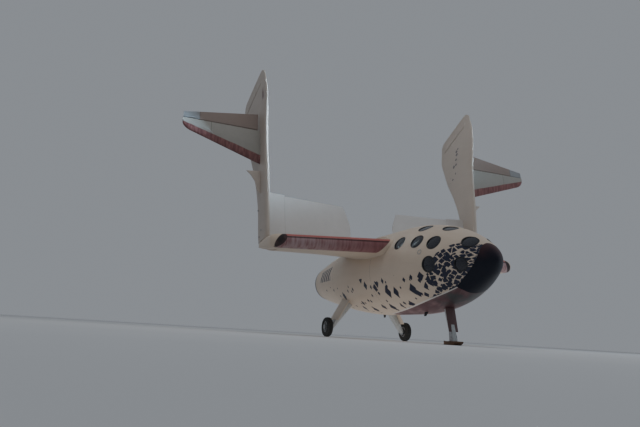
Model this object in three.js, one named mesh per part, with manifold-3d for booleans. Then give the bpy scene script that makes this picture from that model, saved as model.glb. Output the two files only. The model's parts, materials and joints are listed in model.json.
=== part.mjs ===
// A small air-launched suborbital spaceplane, parked on its gear with its
// feathering tail raised. Millimetres. x points forward, y to port, z up.
// Stations are distances aft of a datum 160 mm ahead of the nose tip; heights in the
// drawing are from the hull's axis.
import * as THREE from 'three';
import { mergeVertices } from 'three/addons/utils/BufferGeometryUtils.js';
import Module from 'manifold-3d';

const wasm = await Module();
wasm.setup();

// Driving dimensions
const seam = 0.3; // gap between pieces that touch
const hullRadius = 762;
const hullEnd = 6524; // station of the tail's open end
const noseTip = 160; // station of the nose tip
// The nose's curve runs to its apex, and is blunted ahead of bluntEnd
const noseCurve = { apex: 60, power: 2.32, fullness: 0.86, bluntEnd: 360 };
const noseEnd = 2350; // station where the hull is first at its full radius
const taperStart = 3425; // where the hull begins to narrow towards the tail
const tailRadius = 380;
const wallThickness = 30;
const axisHeight = 1240; // fuselage axis above the floor
const originStation = (noseTip + hullEnd) / 2; // the frame's origin is under this station
const cabinEnd = 2750;
const tankEnd = 4750;
const hullSides = 32;
const roundSides = 12; // on pins, lugs and other small rounds

// The nose cap's edge seen from the side: [height, station]
const capEdge = [[900, 370], [280, 370], [90, 315], [-60, 366], [-160, 448], [-290, 612],
  [-385, 762], [-430, 735], [-900, 735]];

const windowRadius = 120;
const paneThickness = 10;
const paneDepth = 20; // pane face behind the hull's surface

const wing = {
  midHeight: 362,
  rootY: 400, // inside the hull
  tipY: 2380,
  rootLeading: 2035, // stations of the leading edge at rootY and tipY
  tipLeading: 2882,
  noseRadius: 120,
  rearAbove: 112, // thickness at the hinge, above and below midHeight
  rearBelow: 4,
  edgeDepth: 175, // depth of the separate leading edge
};

const hinge = { station: 4205, noseRadius: 45, gap: 6 };
hinge.height = wing.midHeight + wing.rearAbove - hinge.noseRadius;
const raisedDegrees = 80; // the tail's place in the drawing, above its stowed place

const flap = {
  innerY: 400,
  outerY: 1930,
  rootChord: 1053,
  tipChord: 1104,
  bottom: -wing.rearAbove - wing.rearBelow + hinge.noseRadius,
  edgeHeight: -60,
  hullClearance: 8,
};
// The booms splay: y grows towards the tail, and towards the fin's lower edge
const boom = { y: 2376, halfWidth: 59, frontAft: 52, splay: 0.054, cant: 0.06 };
const boomY = (aft, height) => boom.y + boom.splay * aft - boom.cant * height;
const tail = { rootY: 2580, tipY: 4115, height: 92, hingeAft: 2452 };
const wheel = { radius: 190, width: 130, rimRadius: 105, y: 880, station: 4330 };
const skid = { station: 1230, length: 330, width: 150, thickness: 55 };

// Materials
const finish = (color, roughness, metalness = 0) =>
  new THREE.MeshStandardMaterial({ color, roughness, metalness });
const ivory = () => finish(0xd8cdb8, 0.5);
const heatCoat = () => finish(0x7c3f38, 0.7);
const noseDark = () => finish(0x171a26, 0.45);
const glass = () => finish(0x1b2126, 0.08);
const steel = () => finish(0x9a9c9e, 0.35, 0.9);
const darkMetal = () => finish(0x4b4947, 0.5, 0.8);
const rubber = () => finish(0x1c1c1c, 0.85);
const fabric = () => finish(0x3a3f46, 0.9);
const panelDark = () => finish(0x24262a, 0.6);
const phenolic = () => finish(0x6d4a2c, 0.75);

// Geometry to solid and back

function toSolid(geometry) {
  const bare = geometry.clone();
  bare.deleteAttribute('normal');
  bare.deleteAttribute('uv');
  const merged = mergeVertices(bare, 1e-3);
  const place = merged.attributes.position;
  const index = merged.index.array;
  const kept = [];
  let volume = 0;
  const a = new THREE.Vector3();
  const b = new THREE.Vector3();
  const c = new THREE.Vector3();
  for (let i = 0; i < index.length; i += 3) {
    const [p, q, r] = [index[i], index[i + 1], index[i + 2]];
    if (p === q || q === r || r === p) continue;
    kept.push(p, q, r);
    a.fromBufferAttribute(place, p);
    b.fromBufferAttribute(place, q);
    c.fromBufferAttribute(place, r);
    volume += a.dot(b.cross(c));
  }
  if (volume < 0) kept.reverse();
  return new wasm.Manifold(new wasm.Mesh({
    numProp: 3,
    vertProperties: new Float32Array(place.array),
    triVerts: new Uint32Array(kept),
  }));
}

function toGeometry(solid) {
  const made = solid.getMesh();
  const geometry = new THREE.BufferGeometry();
  geometry.setAttribute('position', new THREE.BufferAttribute(made.vertProperties, 3));
  geometry.setIndex(new THREE.BufferAttribute(made.triVerts, 1));
  geometry.computeVertexNormals();
  return geometry;
}

function put(parent, name, solid, material) {
  const mesh = new THREE.Mesh(toGeometry(solid), material);
  mesh.name = name;
  parent.add(mesh);
}

// Shapes

// A solid of revolution about the hull's axis, from [radius, station] pairs
function revolve(profile, sides = hullSides) {
  const points = profile.map(([radius, station]) => new THREE.Vector2(radius, station));
  const geometry = new THREE.LatheGeometry(points, sides);
  geometry.rotateZ(Math.PI / 2);
  return toSolid(geometry);
}

// An outline of [x, z] points carried along y from y0 to y1
function extrudeY(outline, y0, y1) {
  const shape = new THREE.Shape(outline.map(([x, z]) => new THREE.Vector2(x, z)));
  const geometry = new THREE.ExtrudeGeometry(shape, { depth: y1 - y0, bevelEnabled: false });
  geometry.rotateX(Math.PI / 2);
  geometry.translate(0, y1, 0);
  return toSolid(geometry);
}

// An outline of [y, z] points carried along x from x0 to x1
function extrudeX(outline, x0, x1) {
  const shape = new THREE.Shape(outline.map(([y, z]) => new THREE.Vector2(y, z)));
  const geometry = new THREE.ExtrudeGeometry(shape, { depth: x1 - x0, bevelEnabled: false });
  geometry.rotateY(Math.PI / 2);
  geometry.rotateX(Math.PI / 2);
  geometry.translate(x0, 0, 0);
  return toSolid(geometry);
}

// An outline of [x, y] points carried along z from z0 to z1
function extrudeZ(outline, z0, z1) {
  const shape = new THREE.Shape(outline.map(([x, y]) => new THREE.Vector2(x, y)));
  const geometry = new THREE.ExtrudeGeometry(shape, { depth: z1 - z0, bevelEnabled: false });
  geometry.translate(0, 0, z0);
  return toSolid(geometry);
}

function box(x0, x1, y0, y1, z0, z1) {
  const geometry = new THREE.BoxGeometry(x1 - x0, y1 - y0, z1 - z0);
  geometry.translate((x0 + x1) / 2, (y0 + y1) / 2, (z0 + z1) / 2);
  return toSolid(geometry);
}

// A round bar between two points
function bar(from, to, radius, sides = roundSides) {
  const start = new THREE.Vector3(...from);
  const end = new THREE.Vector3(...to);
  const along = end.clone().sub(start);
  const geometry = new THREE.CylinderGeometry(radius, radius, along.length(), sides);
  const up = new THREE.Vector3(0, 1, 0);
  geometry.applyQuaternion(new THREE.Quaternion().setFromUnitVectors(up, along.normalize()));
  geometry.translate(...start.add(end).multiplyScalar(0.5).toArray());
  return toSolid(geometry);
}

// Rings with the same number of points, skinned and closed at both ends
function loft(rings) {
  const count = rings[0].length;
  const position = rings.flat(2);
  const index = [];
  for (let ring = 0; ring + 1 < rings.length; ring += 1) {
    for (let i = 0; i < count; i += 1) {
      const j = (i + 1) % count;
      const near = ring * count;
      const far = near + count;
      index.push(near + i, near + j, far + j, near + i, far + j, far + i);
    }
  }
  const last = (rings.length - 1) * count;
  for (let i = 1; i + 1 < count; i += 1) {
    index.push(0, i + 1, i);
    index.push(last, last + i, last + i + 1);
  }
  const geometry = new THREE.BufferGeometry();
  geometry.setAttribute('position', new THREE.Float32BufferAttribute(position, 3));
  geometry.setIndex(index);
  return toSolid(geometry);
}

const mix = (a, b, t) => a + (b - a) * t;

// Linear look-up in a table of [input, output] rows
function lookUp(table, input) {
  const row = table.findIndex(([station]) => station >= input);
  if (row < 0) return table[table.length - 1][1];
  if (row === 0) return table[0][1];
  const [s0, v0] = table[row - 1];
  const [s1, v1] = table[row];
  return mix(v0, v1, (input - s0) / (s1 - s0));
}

// Port and starboard copies: side is 1 to port and -1 to starboard
const sides = [['left', 1], ['right', -1]];
const mirrored = (solid, side) => (side > 0 ? solid : solid.mirror([0, 1, 0]));

// Hull

function hullOuter(station) {
  if (station <= noseTip) return 0;
  if (station < noseEnd) {
    const { apex, power, fullness, bluntEnd } = noseCurve;
    const ahead = (noseEnd - station) / (noseEnd - apex);
    const blunt = Math.max((bluntEnd - station) / (bluntEnd - noseTip), 0);
    return hullRadius * (1 - ahead ** power) ** fullness * Math.sqrt(1 - blunt ** 3);
  }
  if (station < taperStart) return hullRadius;
  const along = (station - taperStart) / (hullEnd - taperStart);
  return hullRadius - (hullRadius - tailRadius) * along ** 1.5;
}

const noseStations = [noseTip, 163, 172, 190, 225, 280, 360, 480, 660, 920, 1320, 1800, noseEnd];
const tailStations = [taperStart, 3800, 4280, tankEnd, 5300, 5900, hullEnd];

// The hull's stations between two ends, ends included
function stationsBetween(first, last) {
  const inside = [...noseStations, ...tailStations].filter((s) => s > first && s < last);
  return [first, ...inside, last];
}

// A solid of the hull's outside between two stations, grown or shrunk by inset
function hullSolid(first, last, inset = 0) {
  const stations = stationsBetween(first, last);
  const rim = stations.map((s) => [Math.max(hullOuter(s) - inset, 0), s]);
  const start = rim[0][0] > 0 ? [[0, first]] : [];
  return revolve([...start, ...rim, [0, last]]);
}

// The hull's wall between two stations
function hullShell(first, last) {
  return hullSolid(first, last).subtract(hullSolid(first - 10, last + 10, wallThickness));
}

const foreShellStart = 300; // ahead of all of the nose cap's edge
const capEnd = 900; // aft of all of it

// Everything ahead of the nose cap's edge, moved aft by shift
function aheadOfCap(shift) {
  const edge = capEdge.map(([height, station]) => [-station - shift, height]);
  const reach = capEdge[0][0];
  return extrudeY([[200, reach], ...edge, [200, -reach]], -reach, reach);
}

// Windows on one side: [station, degrees above the horizontal, radius]
const windowTable = [
  [1062, 31, windowRadius],
  [1425, 31, windowRadius],
  [1880, 30, windowRadius],
  [1067, -5, windowRadius],
  [545, -12, 102],
  [520, 53, 125],
  [1560, 61, windowRadius],
  [1075, 72, windowRadius],
];

// A point on the hull's surface and the outward direction there
function surfaceAt(station, degrees, side) {
  const angle = THREE.MathUtils.degToRad(degrees);
  const step = 5;
  const slope = (hullOuter(station + step) - hullOuter(station - step)) / (2 * step);
  const across = new THREE.Vector3(0, side * Math.cos(angle), Math.sin(angle));
  const point = across.clone().multiplyScalar(hullOuter(station));
  point.x = -station;
  const normal = across.clone().setX(slope).normalize();
  return { point, normal };
}

// A round plug through the hull's wall, from outer to inner distances along the normal
function plug({ point, normal }, radius, outer, inner, count = 16) {
  const from = point.clone().addScaledVector(normal, inner);
  const to = point.clone().addScaledVector(normal, outer);
  return bar(from.toArray(), to.toArray(), radius, count);
}

// A swept antenna blade that stands on the hull: its root runs aft from station
const bladeSize = { root: 120, tip: 60, height: 75, thickness: 10, sunk: 12 };

function antennaBlade(station, degrees) {
  const { root, tip, height, thickness, sunk } = bladeSize;
  const base = hullOuter(station);
  const outline = [
    [-station, base - sunk],
    [-station - root, base - sunk],
    [-station - root, base + height],
    [-station - root + tip, base + height],
  ];
  return extrudeY(outline, -thickness / 2, thickness / 2).rotate([degrees - 90, 0, 0]);
}

const hatch = { station: 2260, degrees: -14, radius: 320 };
const hatchCut = plug(surfaceAt(hatch.station, hatch.degrees, 1), hatch.radius, 60, -200, 32);
const hatchPlug = plug(surfaceAt(hatch.station, hatch.degrees, 1), hatch.radius - seam * 1.4, 60, -200, 32);

function buildHull(craft) {
  const fore = hullShell(foreShellStart, cabinEnd);
  const tipWall = 45;
  const tip = hullSolid(noseTip, capEnd).subtract(hullSolid(noseTip + tipWall, capEnd + 10, wallThickness));
  put(craft, 'nose_cap', tip.intersect(aheadOfCap(0)), noseDark());

  let cabin = fore.subtract(aheadOfCap(seam * 1.3)).subtract(hatchCut);
  windowTable.forEach(([station, degrees, radius], row) => {
    sides.forEach(([label, side]) => {
      const spot = surfaceAt(station, degrees, side);
      cabin = cabin.subtract(plug(spot, radius, 80, -90));
      const pane = plug(spot, radius - seam, -paneDepth, -paneDepth - paneThickness);
      put(craft, `window_pane_${label}_${row + 1}`, pane, glass());
    });
  });
  put(craft, 'cabin_shell', cabin.add(antennaBlade(1784, -99)), ivory());
  put(craft, 'crew_hatch', fore.intersect(hatchPlug), ivory());

  const crossBore = bar(
    [-hinge.station, -900, hinge.height],
    [-hinge.station, 900, hinge.height],
    crossTube.radius + crossTube.clearance,
    crossTube.sides,
  );
  // The flat pad that a carrier aircraft's hook and sway brace meet
  const { station: padStation, length, width, height } = carrierPad;
  const pad = box(-padStation - length / 2, -padStation + length / 2, -width / 2, width / 2, 700, height);
  const tank = hullSolid(cabinEnd + seam, tankEnd)
    .add(pad)
    .add(antennaBlade(3830, -77))
    .subtract(crossBore);
  put(craft, 'tank_section', tank, ivory());
  put(craft, 'tail_cone', hullShell(tankEnd + seam, hullEnd), ivory());
}

// Rocket motor: the case and the bell, [radius, station] with the inside last
const carrierPad = { station: 3300, length: 240, width: 120, height: 790 };
const motor = { caseRadius: 240, exitRadius: 310, exitStation: 6440 };
const motorProfile = [
  [0, tankEnd + 2 * seam],
  [motor.caseRadius, tankEnd + 2 * seam],
  [motor.caseRadius, 5500],
  [150, 5640],
  [120, 5760],
  [190, 5950],
  [275, 6180],
  [motor.exitRadius, motor.exitStation],
  [motor.exitRadius - 18, motor.exitStation],
  [255, 6180],
  [170, 5950],
  [90, 5770],
  [80, 5700],
  [0, 5690],
];

// Wing: section points are [depth behind the leading edge, rise above midHeight, drop below it]

const noseArc = [0, 20, 40, 60, 75, 90].map((degrees) => {
  const angle = THREE.MathUtils.degToRad(degrees);
  const rise = wing.noseRadius * Math.sin(angle);
  return [wing.noseRadius * (1 - Math.cos(angle)), rise, rise];
});

const wingLeading = (y) =>
  mix(wing.rootLeading, wing.tipLeading, (y - wing.rootY) / (wing.tipY - wing.rootY));

// Closed ring of the wing's section at y
function wingRing(y, section) {
  const leading = wingLeading(y);
  const upper = section.map(([depth, rise]) => [-(leading + depth), y, wing.midHeight + rise]);
  const lower = section
    .filter(([, , drop]) => drop > 0)
    .map(([depth, , drop]) => [-(leading + depth), y, wing.midHeight - drop])
    .reverse();
  return [...upper, ...lower];
}

const edgeHalf = wing.noseRadius + 4; // half thickness where the leading edge meets the box

function wingBoxRing(y) {
  const rear = hinge.station - hinge.noseRadius - hinge.gap - wingLeading(y);
  const front = wing.edgeDepth + seam * 1.3;
  return wingRing(y, [
    [front, edgeHalf, edgeHalf],
    [mix(front, rear, 0.25), 150, 138],
    [mix(front, rear, 0.5), 156, 112],
    [mix(front, rear, 0.75), 142, 62],
    [rear, wing.rearAbove, wing.rearBelow],
  ]);
}

function wingEdgeRing(y, size) {
  const section = [...noseArc, [wing.edgeDepth, edgeHalf, edgeHalf]];
  return wingRing(y, section.map(([depth, rise, drop]) =>
    [mix(wing.edgeDepth, depth, size), rise * size, drop * size]));
}

// Lugs and pins on a fixed piece, and the slots and bores that they need in the moving one.
// The axis runs along y at x, z; the lugs reach forward to the fixed piece.
const pinRadius = 14;
const pinClearance = 0.7;

function hingeFittings(x, z, noseRadius, places, lugWidth = 16, pinReach = 26, pin = pinRadius) {
  const lugRadius = noseRadius * 0.72;
  const front = x + noseRadius + hinge.gap + 4;
  const slack = 6;
  let fixed = null;
  let cut = null;
  places.forEach((y) => {
    const lug = bar([x, y - lugWidth / 2, z], [x, y + lugWidth / 2, z], lugRadius)
      .add(box(x, front, y - lugWidth / 2, y + lugWidth / 2, z - lugRadius, z + lugRadius))
      .add(bar([x, y - lugWidth / 2 - pinReach, z], [x, y + lugWidth / 2 + pinReach, z], pin));
    const half = lugWidth / 2 + slack;
    const room = lugRadius + slack;
    const slot = box(x - room, x + noseRadius + 20, y - half, y + half, z - room, z + noseRadius + 20);
    const bore = bar(
      [x, y - lugWidth / 2 - pinReach - 5, z],
      [x, y + lugWidth / 2 + pinReach + 5, z],
      pin + pinClearance,
    );
    const both = slot.add(bore);
    fixed = fixed ? fixed.add(lug) : lug;
    cut = cut ? cut.add(both) : both;
  });
  return { fixed, cut };
}

const featherLugs = [900, 1560, 2180];

function buildWings(craft) {
  const hullKeepOut = hullSolid(1200, 5200, -seam * 1.5);
  const fittings = hingeFittings(-hinge.station, hinge.height, hinge.noseRadius, featherLugs);
  const boxSolid = loft([wingBoxRing(wing.rootY), wingBoxRing(wing.tipY)])
    .subtract(hullKeepOut)
    .add(fittings.fixed);
  // The end of the leading edge rounds off beside the tip: [y, share of the section left]
  const edgeRings = [
    [wing.rootY, 1],
    [wing.tipY + 60, 1],
    [wing.tipY + 115, 0.92],
    [wing.tipY + 150, 0.75],
    [wing.tipY + 168, 0.5],
  ].map(([y, size]) => wingEdgeRing(y, size));
  const edge = loft(edgeRings).subtract(hullKeepOut);

  // The fixed wing tip ahead of the boom: [station, outer y, bottom, top], heights from midHeight
  const tipFront = wingLeading(wing.tipY) + wing.edgeDepth;
  const tipRear = hinge.station - hinge.noseRadius - hinge.gap;
  const tipInner = wing.tipY - 120;
  const tipRings = [
    [tipFront - 60, 2500, -112, 108],
    [tipFront + 120, 2525, -128, 136],
    [tipFront + 450, 2515, -110, 150],
    [tipFront + 800, 2490, -62, 138],
    [tipRear, 2462, -18, wing.rearAbove],
  ].map(([station, outer, bottom, top]) => superRing(
    -station,
    (tipInner + outer) / 2,
    wing.midHeight + (bottom + top) / 2,
    (outer - tipInner) / 2,
    (top - bottom) / 2,
  ));
  const aheadOfTip = loft([wing.rootY, boom.y + 300].map((y) => {
    const rear = -(wingLeading(y) + wing.edgeDepth + seam * 1.3);
    return [[0, y, 900], [rear, y, 900], [rear, y, -900], [0, y, -900]];
  }));
  const tip = loft(tipRings)
    .subtract(box(-6000, 0, 0, wing.tipY + seam, -900, 900))
    .subtract(aheadOfTip);

  sides.forEach(([label, side]) => {
    put(craft, `wing_${label}`, mirrored(boxSolid, side), ivory());
    put(craft, `wing_leading_edge_${label}`, mirrored(edge, side), heatCoat());
    put(craft, `wing_tip_${label}`, mirrored(tip, side), ivory());
  });
}

// A rounded ring across the x axis, between an ellipse and a rectangle
function superRing(x, y, z, halfWidth, halfHeight, count = 20, power = 0.75) {
  return Array.from({ length: count }, (_, i) => {
    const angle = (2 * Math.PI * (i + 0.5)) / count;
    const c = Math.cos(angle);
    const s = Math.sin(angle);
    return [
      x,
      y + halfWidth * Math.sign(c) * Math.abs(c) ** power,
      z + halfHeight * Math.sign(s) * Math.abs(s) ** power,
    ];
  });
}

// Feathering tail, drawn stowed: x is forward of the hinge, z above it

const crossTube = { radius: 32, reach: 700, clearance: 0.8, sides: 24 };

// Boom and fin seen from the side: [distance aft of the hinge, height]
const dorsalLine = [[52, 280], [200, 330], [1200, 384], [2200, 381], [3200, 480], [3750, 365], [3900, 340]];
const ventralLine = [[52, -150], [200, -170], [800, -155], [1400, -287], [1900, -494], [2300, -716],
  [2700, -872], [3000, -982], [3300, -962], [3900, -930]];
const finHalfWidth = [[0, boom.halfWidth], [2000, boom.halfWidth], [3200, 42], [3750, 20], [3900, 10]];
const finTrailing = { tip: [3829, 203], corner: [3550, -827], toe: [3440, -960] };

// The hinge line of the rudders, parallel to the trailing edge and rudder.chord ahead of it
const rudder = { chord: 290, nose: 26, gap: 6, top: 190, middle: -200, bottom: -780, pin: 10 };

// A side outline of [x, z] points carried across the boom
const acrossBoom = (outline) => extrudeY(outline, boom.y - 400, boom.y + 400);

function finSolid(grow = 0) {
  const stations = [boom.frontAft, 200, 500, 800, 1200, 1600, 1900, 2300, 2700, 3000, 3250, 3550, 3860];
  const rings = stations.map((aft) => {
    const top = lookUp(dorsalLine, aft);
    const bottom = lookUp(ventralLine, aft);
    const halfWidth = lookUp(finHalfWidth, aft) + grow;
    const ring = superRing(-aft, 0, (top + bottom) / 2, halfWidth, (top - bottom) / 2, 20, 0.85);
    return ring.map(([x, y, z]) => [x, y + boomY(aft, z), z]);
  });
  const { tip, corner, toe } = finTrailing;
  return loft(rings).intersect(acrossBoom([
    [200, 700],
    [-3300, 700],
    [-3500, 600],
    [-3700, 400],
    [-3800, 290],
    [-tip[0], tip[1]],
    [-corner[0], corner[1]],
    [-toe[0], toe[1]],
    [-3200, -1200],
    [200, -1200],
  ]));
}

// Position of the rudder hinge line at a height
function rudderHingeAft(height) {
  const { tip, corner } = finTrailing;
  return mix(corner[0], tip[0], (height - corner[1]) / (tip[1] - corner[1])) - rudder.chord;
}

function rudderAxisAt(height) {
  const aft = rudderHingeAft(height);
  return [-aft, boomY(aft, height), height];
}

// Everything aft of the rudder hinge line moved by shift, between two heights
function aftOfRudderHinge(shift, low, high) {
  return acrossBoom([
    [-rudderHingeAft(high) - shift, high],
    [-4200, high],
    [-4200, low],
    [-rudderHingeAft(low) - shift, low],
  ]);
}

// The outer wing panel, which is one piece with the boom
function stubPanel() {
  const inner = flapRing(flap.outerY + 4, flap.tipChord + 26);
  const outer = flapRing(boom.y, flap.tipChord + 56).map(([x, y, z]) => [x, boomY(-x, z), z]);
  return loft([inner, outer]);
}

// A thin strake outboard of the boom, just ahead of the tailplane: [distance aft, y]
const strakeOutline = [[1010, 2450], [1055, 2530], [1105, 2562], [1280, 2610], [1400, 2690], [1490, 2790],
  [1520, 2450]];

function buildFins(feather) {
  const whole = finSolid();
  const reach = rudder.nose + rudder.gap;
  const cheek = boom.halfWidth - 1;
  const r = hinge.noseRadius;
  const block = extrudeY([[-boom.frontAft - 5, r], [0, r], [r * 0.7, r * 0.7], [r, 0], [r, flap.bottom],
    [-boom.frontAft - 5, flap.bottom]], boom.y - cheek, boom.y + cheek);
  const fittings = hingeFittings(0, 0, r, featherLugs);
  const strake = extrudeZ(strakeOutline.map(([aft, y]) => [-aft, y]), tail.height - 12, tail.height + 12);

  const spans = [['upper', rudder.middle + 14, rudder.top], ['lower', rudder.bottom, rudder.middle - 14]];
  let fixedFin = whole;
  const rudders = spans.map(([name, low, high]) => {
    fixedFin = fixedFin.subtract(aftOfRudderHinge(-reach, low - 6, high + 6));
    const spine = bar(rudderAxisAt(low - 30), rudderAxisAt(high + 30), rudder.nose);
    const blade = whole.intersect(aftOfRudderHinge(0, low, high));
    const ends = acrossBoom([[-2500, low], [-2500, high], [-4200, high], [-4200, low]]);
    return [name, blade.add(spine.intersect(ends))];
  });

  // Rudder pins: short rods along the hinge line that stand in the fin's ribs
  const pinEnds = [[rudder.bottom - 40, rudder.bottom + 60], [rudder.middle - 60, rudder.middle + 60],
    [rudder.top - 60, rudder.top + 40]];
  pinEnds.forEach(([low, high]) => {
    fixedFin = fixedFin.add(bar(rudderAxisAt(low), rudderAxisAt(high), rudder.pin));
  });
  const pinRoom = pinEnds.map(([low, high]) =>
    bar(rudderAxisAt(low - 5), rudderAxisAt(high + 5), rudder.pin + pinClearance));
  const fin = fixedFin.add(stubPanel()).add(block).add(strake).subtract(fittings.cut);

  sides.forEach(([label, side]) => {
    put(feather, `boom_${label}`, mirrored(fin, side), ivory());
    rudders.forEach(([name, solid]) => {
      const cut = pinRoom.reduce((left, room) => left.subtract(room), solid);
      put(feather, `rudder_${name}_${label}`, mirrored(cut, side), ivory());
    });
  });
}

// Side outline of the moving wing panel: the rounded nose sits on the hinge
function flapOutline(chord) {
  const r = hinge.noseRadius;
  return [
    [0, r],
    [r * 0.5, r * 0.866],
    [r * 0.866, r * 0.5],
    [r, 0],
    [r, flap.bottom],
    [-chord * 0.45, flap.bottom],
    [-chord, flap.edgeHeight - 7],
    [-chord, flap.edgeHeight + 7],
    [-chord * 0.45, 14],
  ];
}

function flapRing(y, chord) {
  return flapOutline(chord).map(([x, z]) => [x, y, z]);
}

// The hull grown by clearance, where the moving panel sees it at an angle of the feather hinge
const feltHullStart = 3000; // the tail passes nothing ahead of this station
function hullFromFeather(degrees, clearance) {
  return hullSolid(feltHullStart, hullEnd, -clearance)
    .translate([hinge.station, 0, -hinge.height])
    .rotate([0, -degrees, 0]);
}

// Inner edge of the moving wing panel seen from above: [distance aft, y]
const flapInnerEdge = [[-60, 440], [0, 440], [504, 465], [859, 567], [1045, 632], [1200, 690]];

function buildFlaps(feather) {
  const fittings = hingeFittings(0, 0, hinge.noseRadius, featherLugs);
  const inner = flapInnerEdge.map(([aft, y]) => [-aft, y]);
  const planform = extrudeZ([...inner, [-1200, 2200], [60, 2200]], -200, 200);
  const tubeSeat = bar([0, 0, 0], [0, crossTube.reach + 5, 0], crossTube.radius + seam, crossTube.sides);
  const panel = [0, 35, raisedDegrees].reduce(
    (solid, degrees) => solid.subtract(hullFromFeather(degrees, flap.hullClearance)),
    loft([flapRing(flap.innerY, flap.rootChord), flapRing(flap.outerY, flap.tipChord)]).intersect(planform),
  ).subtract(tubeSeat).subtract(fittings.cut);
  sides.forEach(([label, side]) => {
    put(feather, `aft_wing_panel_${label}`, mirrored(panel, side), ivory());
  });
  const { reach, radius } = crossTube;
  put(feather, 'feather_cross_tube', bar([0, -reach, 0], [0, reach, 0], radius, crossTube.sides), steel());
}

// The tailplane's edges and half thickness along its span
const tailSpan = (y) => (y - tail.rootY) / (tail.tipY - tail.rootY);
const tailLeading = (y) => mix(1688, 2220, tailSpan(y));
const tailTrailing = (y) => mix(2810, 2566, tailSpan(y));
const tailHalf = (y) => mix(52, 24, tailSpan(y));
const elevonHalf = (y) => mix(34, 17, tailSpan(y));

function tailRing(y, setback) {
  const half = tailHalf(y);
  const leading = tailLeading(y) + setback;
  const last = tail.hingeAft - elevonHalf(y) - hinge.gap;
  const upper = [
    [leading, 0],
    [leading + 8, half * 0.42],
    [leading + 40, half * 0.75],
    [mix(leading, last, 0.4), half],
    [last, elevonHalf(y)],
  ];
  const top = upper.map(([aft, rise]) => [-aft, y, tail.height + rise]);
  const low = upper.slice(1).map(([aft, rise]) => [-aft, y, tail.height - rise]).reverse();
  return [...top, ...low];
}

function elevonRing(y) {
  const r = elevonHalf(y);
  const nose = [-90, -60, -30, 0, 30, 60, 90].map((degrees) => {
    const angle = THREE.MathUtils.degToRad(degrees);
    return [-tail.hingeAft + r * Math.cos(angle), y, tail.height + r * Math.sin(angle)];
  });
  return [...nose, [-tailTrailing(y), y, tail.height + 4], [-tailTrailing(y), y, tail.height - 4]];
}

function buildTailplanes(feather) {
  // The corner of the tip is rounded: [y, setback of the leading edge]
  const setbacks = [[tail.rootY - 90, 0], [tail.tipY - 150, 0], [tail.tipY - 65, 25],
    [tail.tipY - 18, 70], [tail.tipY, 105]];
  const rings = setbacks.map(([y, setback]) => tailRing(y, setback));
  const lugPlaces = [2850, 3800];
  const fixed = lugPlaces.map((y) => hingeFittings(-tail.hingeAft, tail.height, elevonHalf(y), [y], 10, 16, 6));
  let plane = loft(rings).subtract(finSolid(seam * 1.5));
  let elevon = loft([tail.rootY + 15, tail.tipY - 8].map(elevonRing));
  fixed.forEach((fitting) => {
    plane = plane.add(fitting.fixed);
    elevon = elevon.subtract(fitting.cut);
  });
  sides.forEach(([label, side]) => {
    put(feather, `tailplane_${label}`, mirrored(plane, side), ivory());
    put(feather, `elevon_${label}`, mirrored(elevon, side), ivory());
  });
}

// Landing gear

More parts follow.
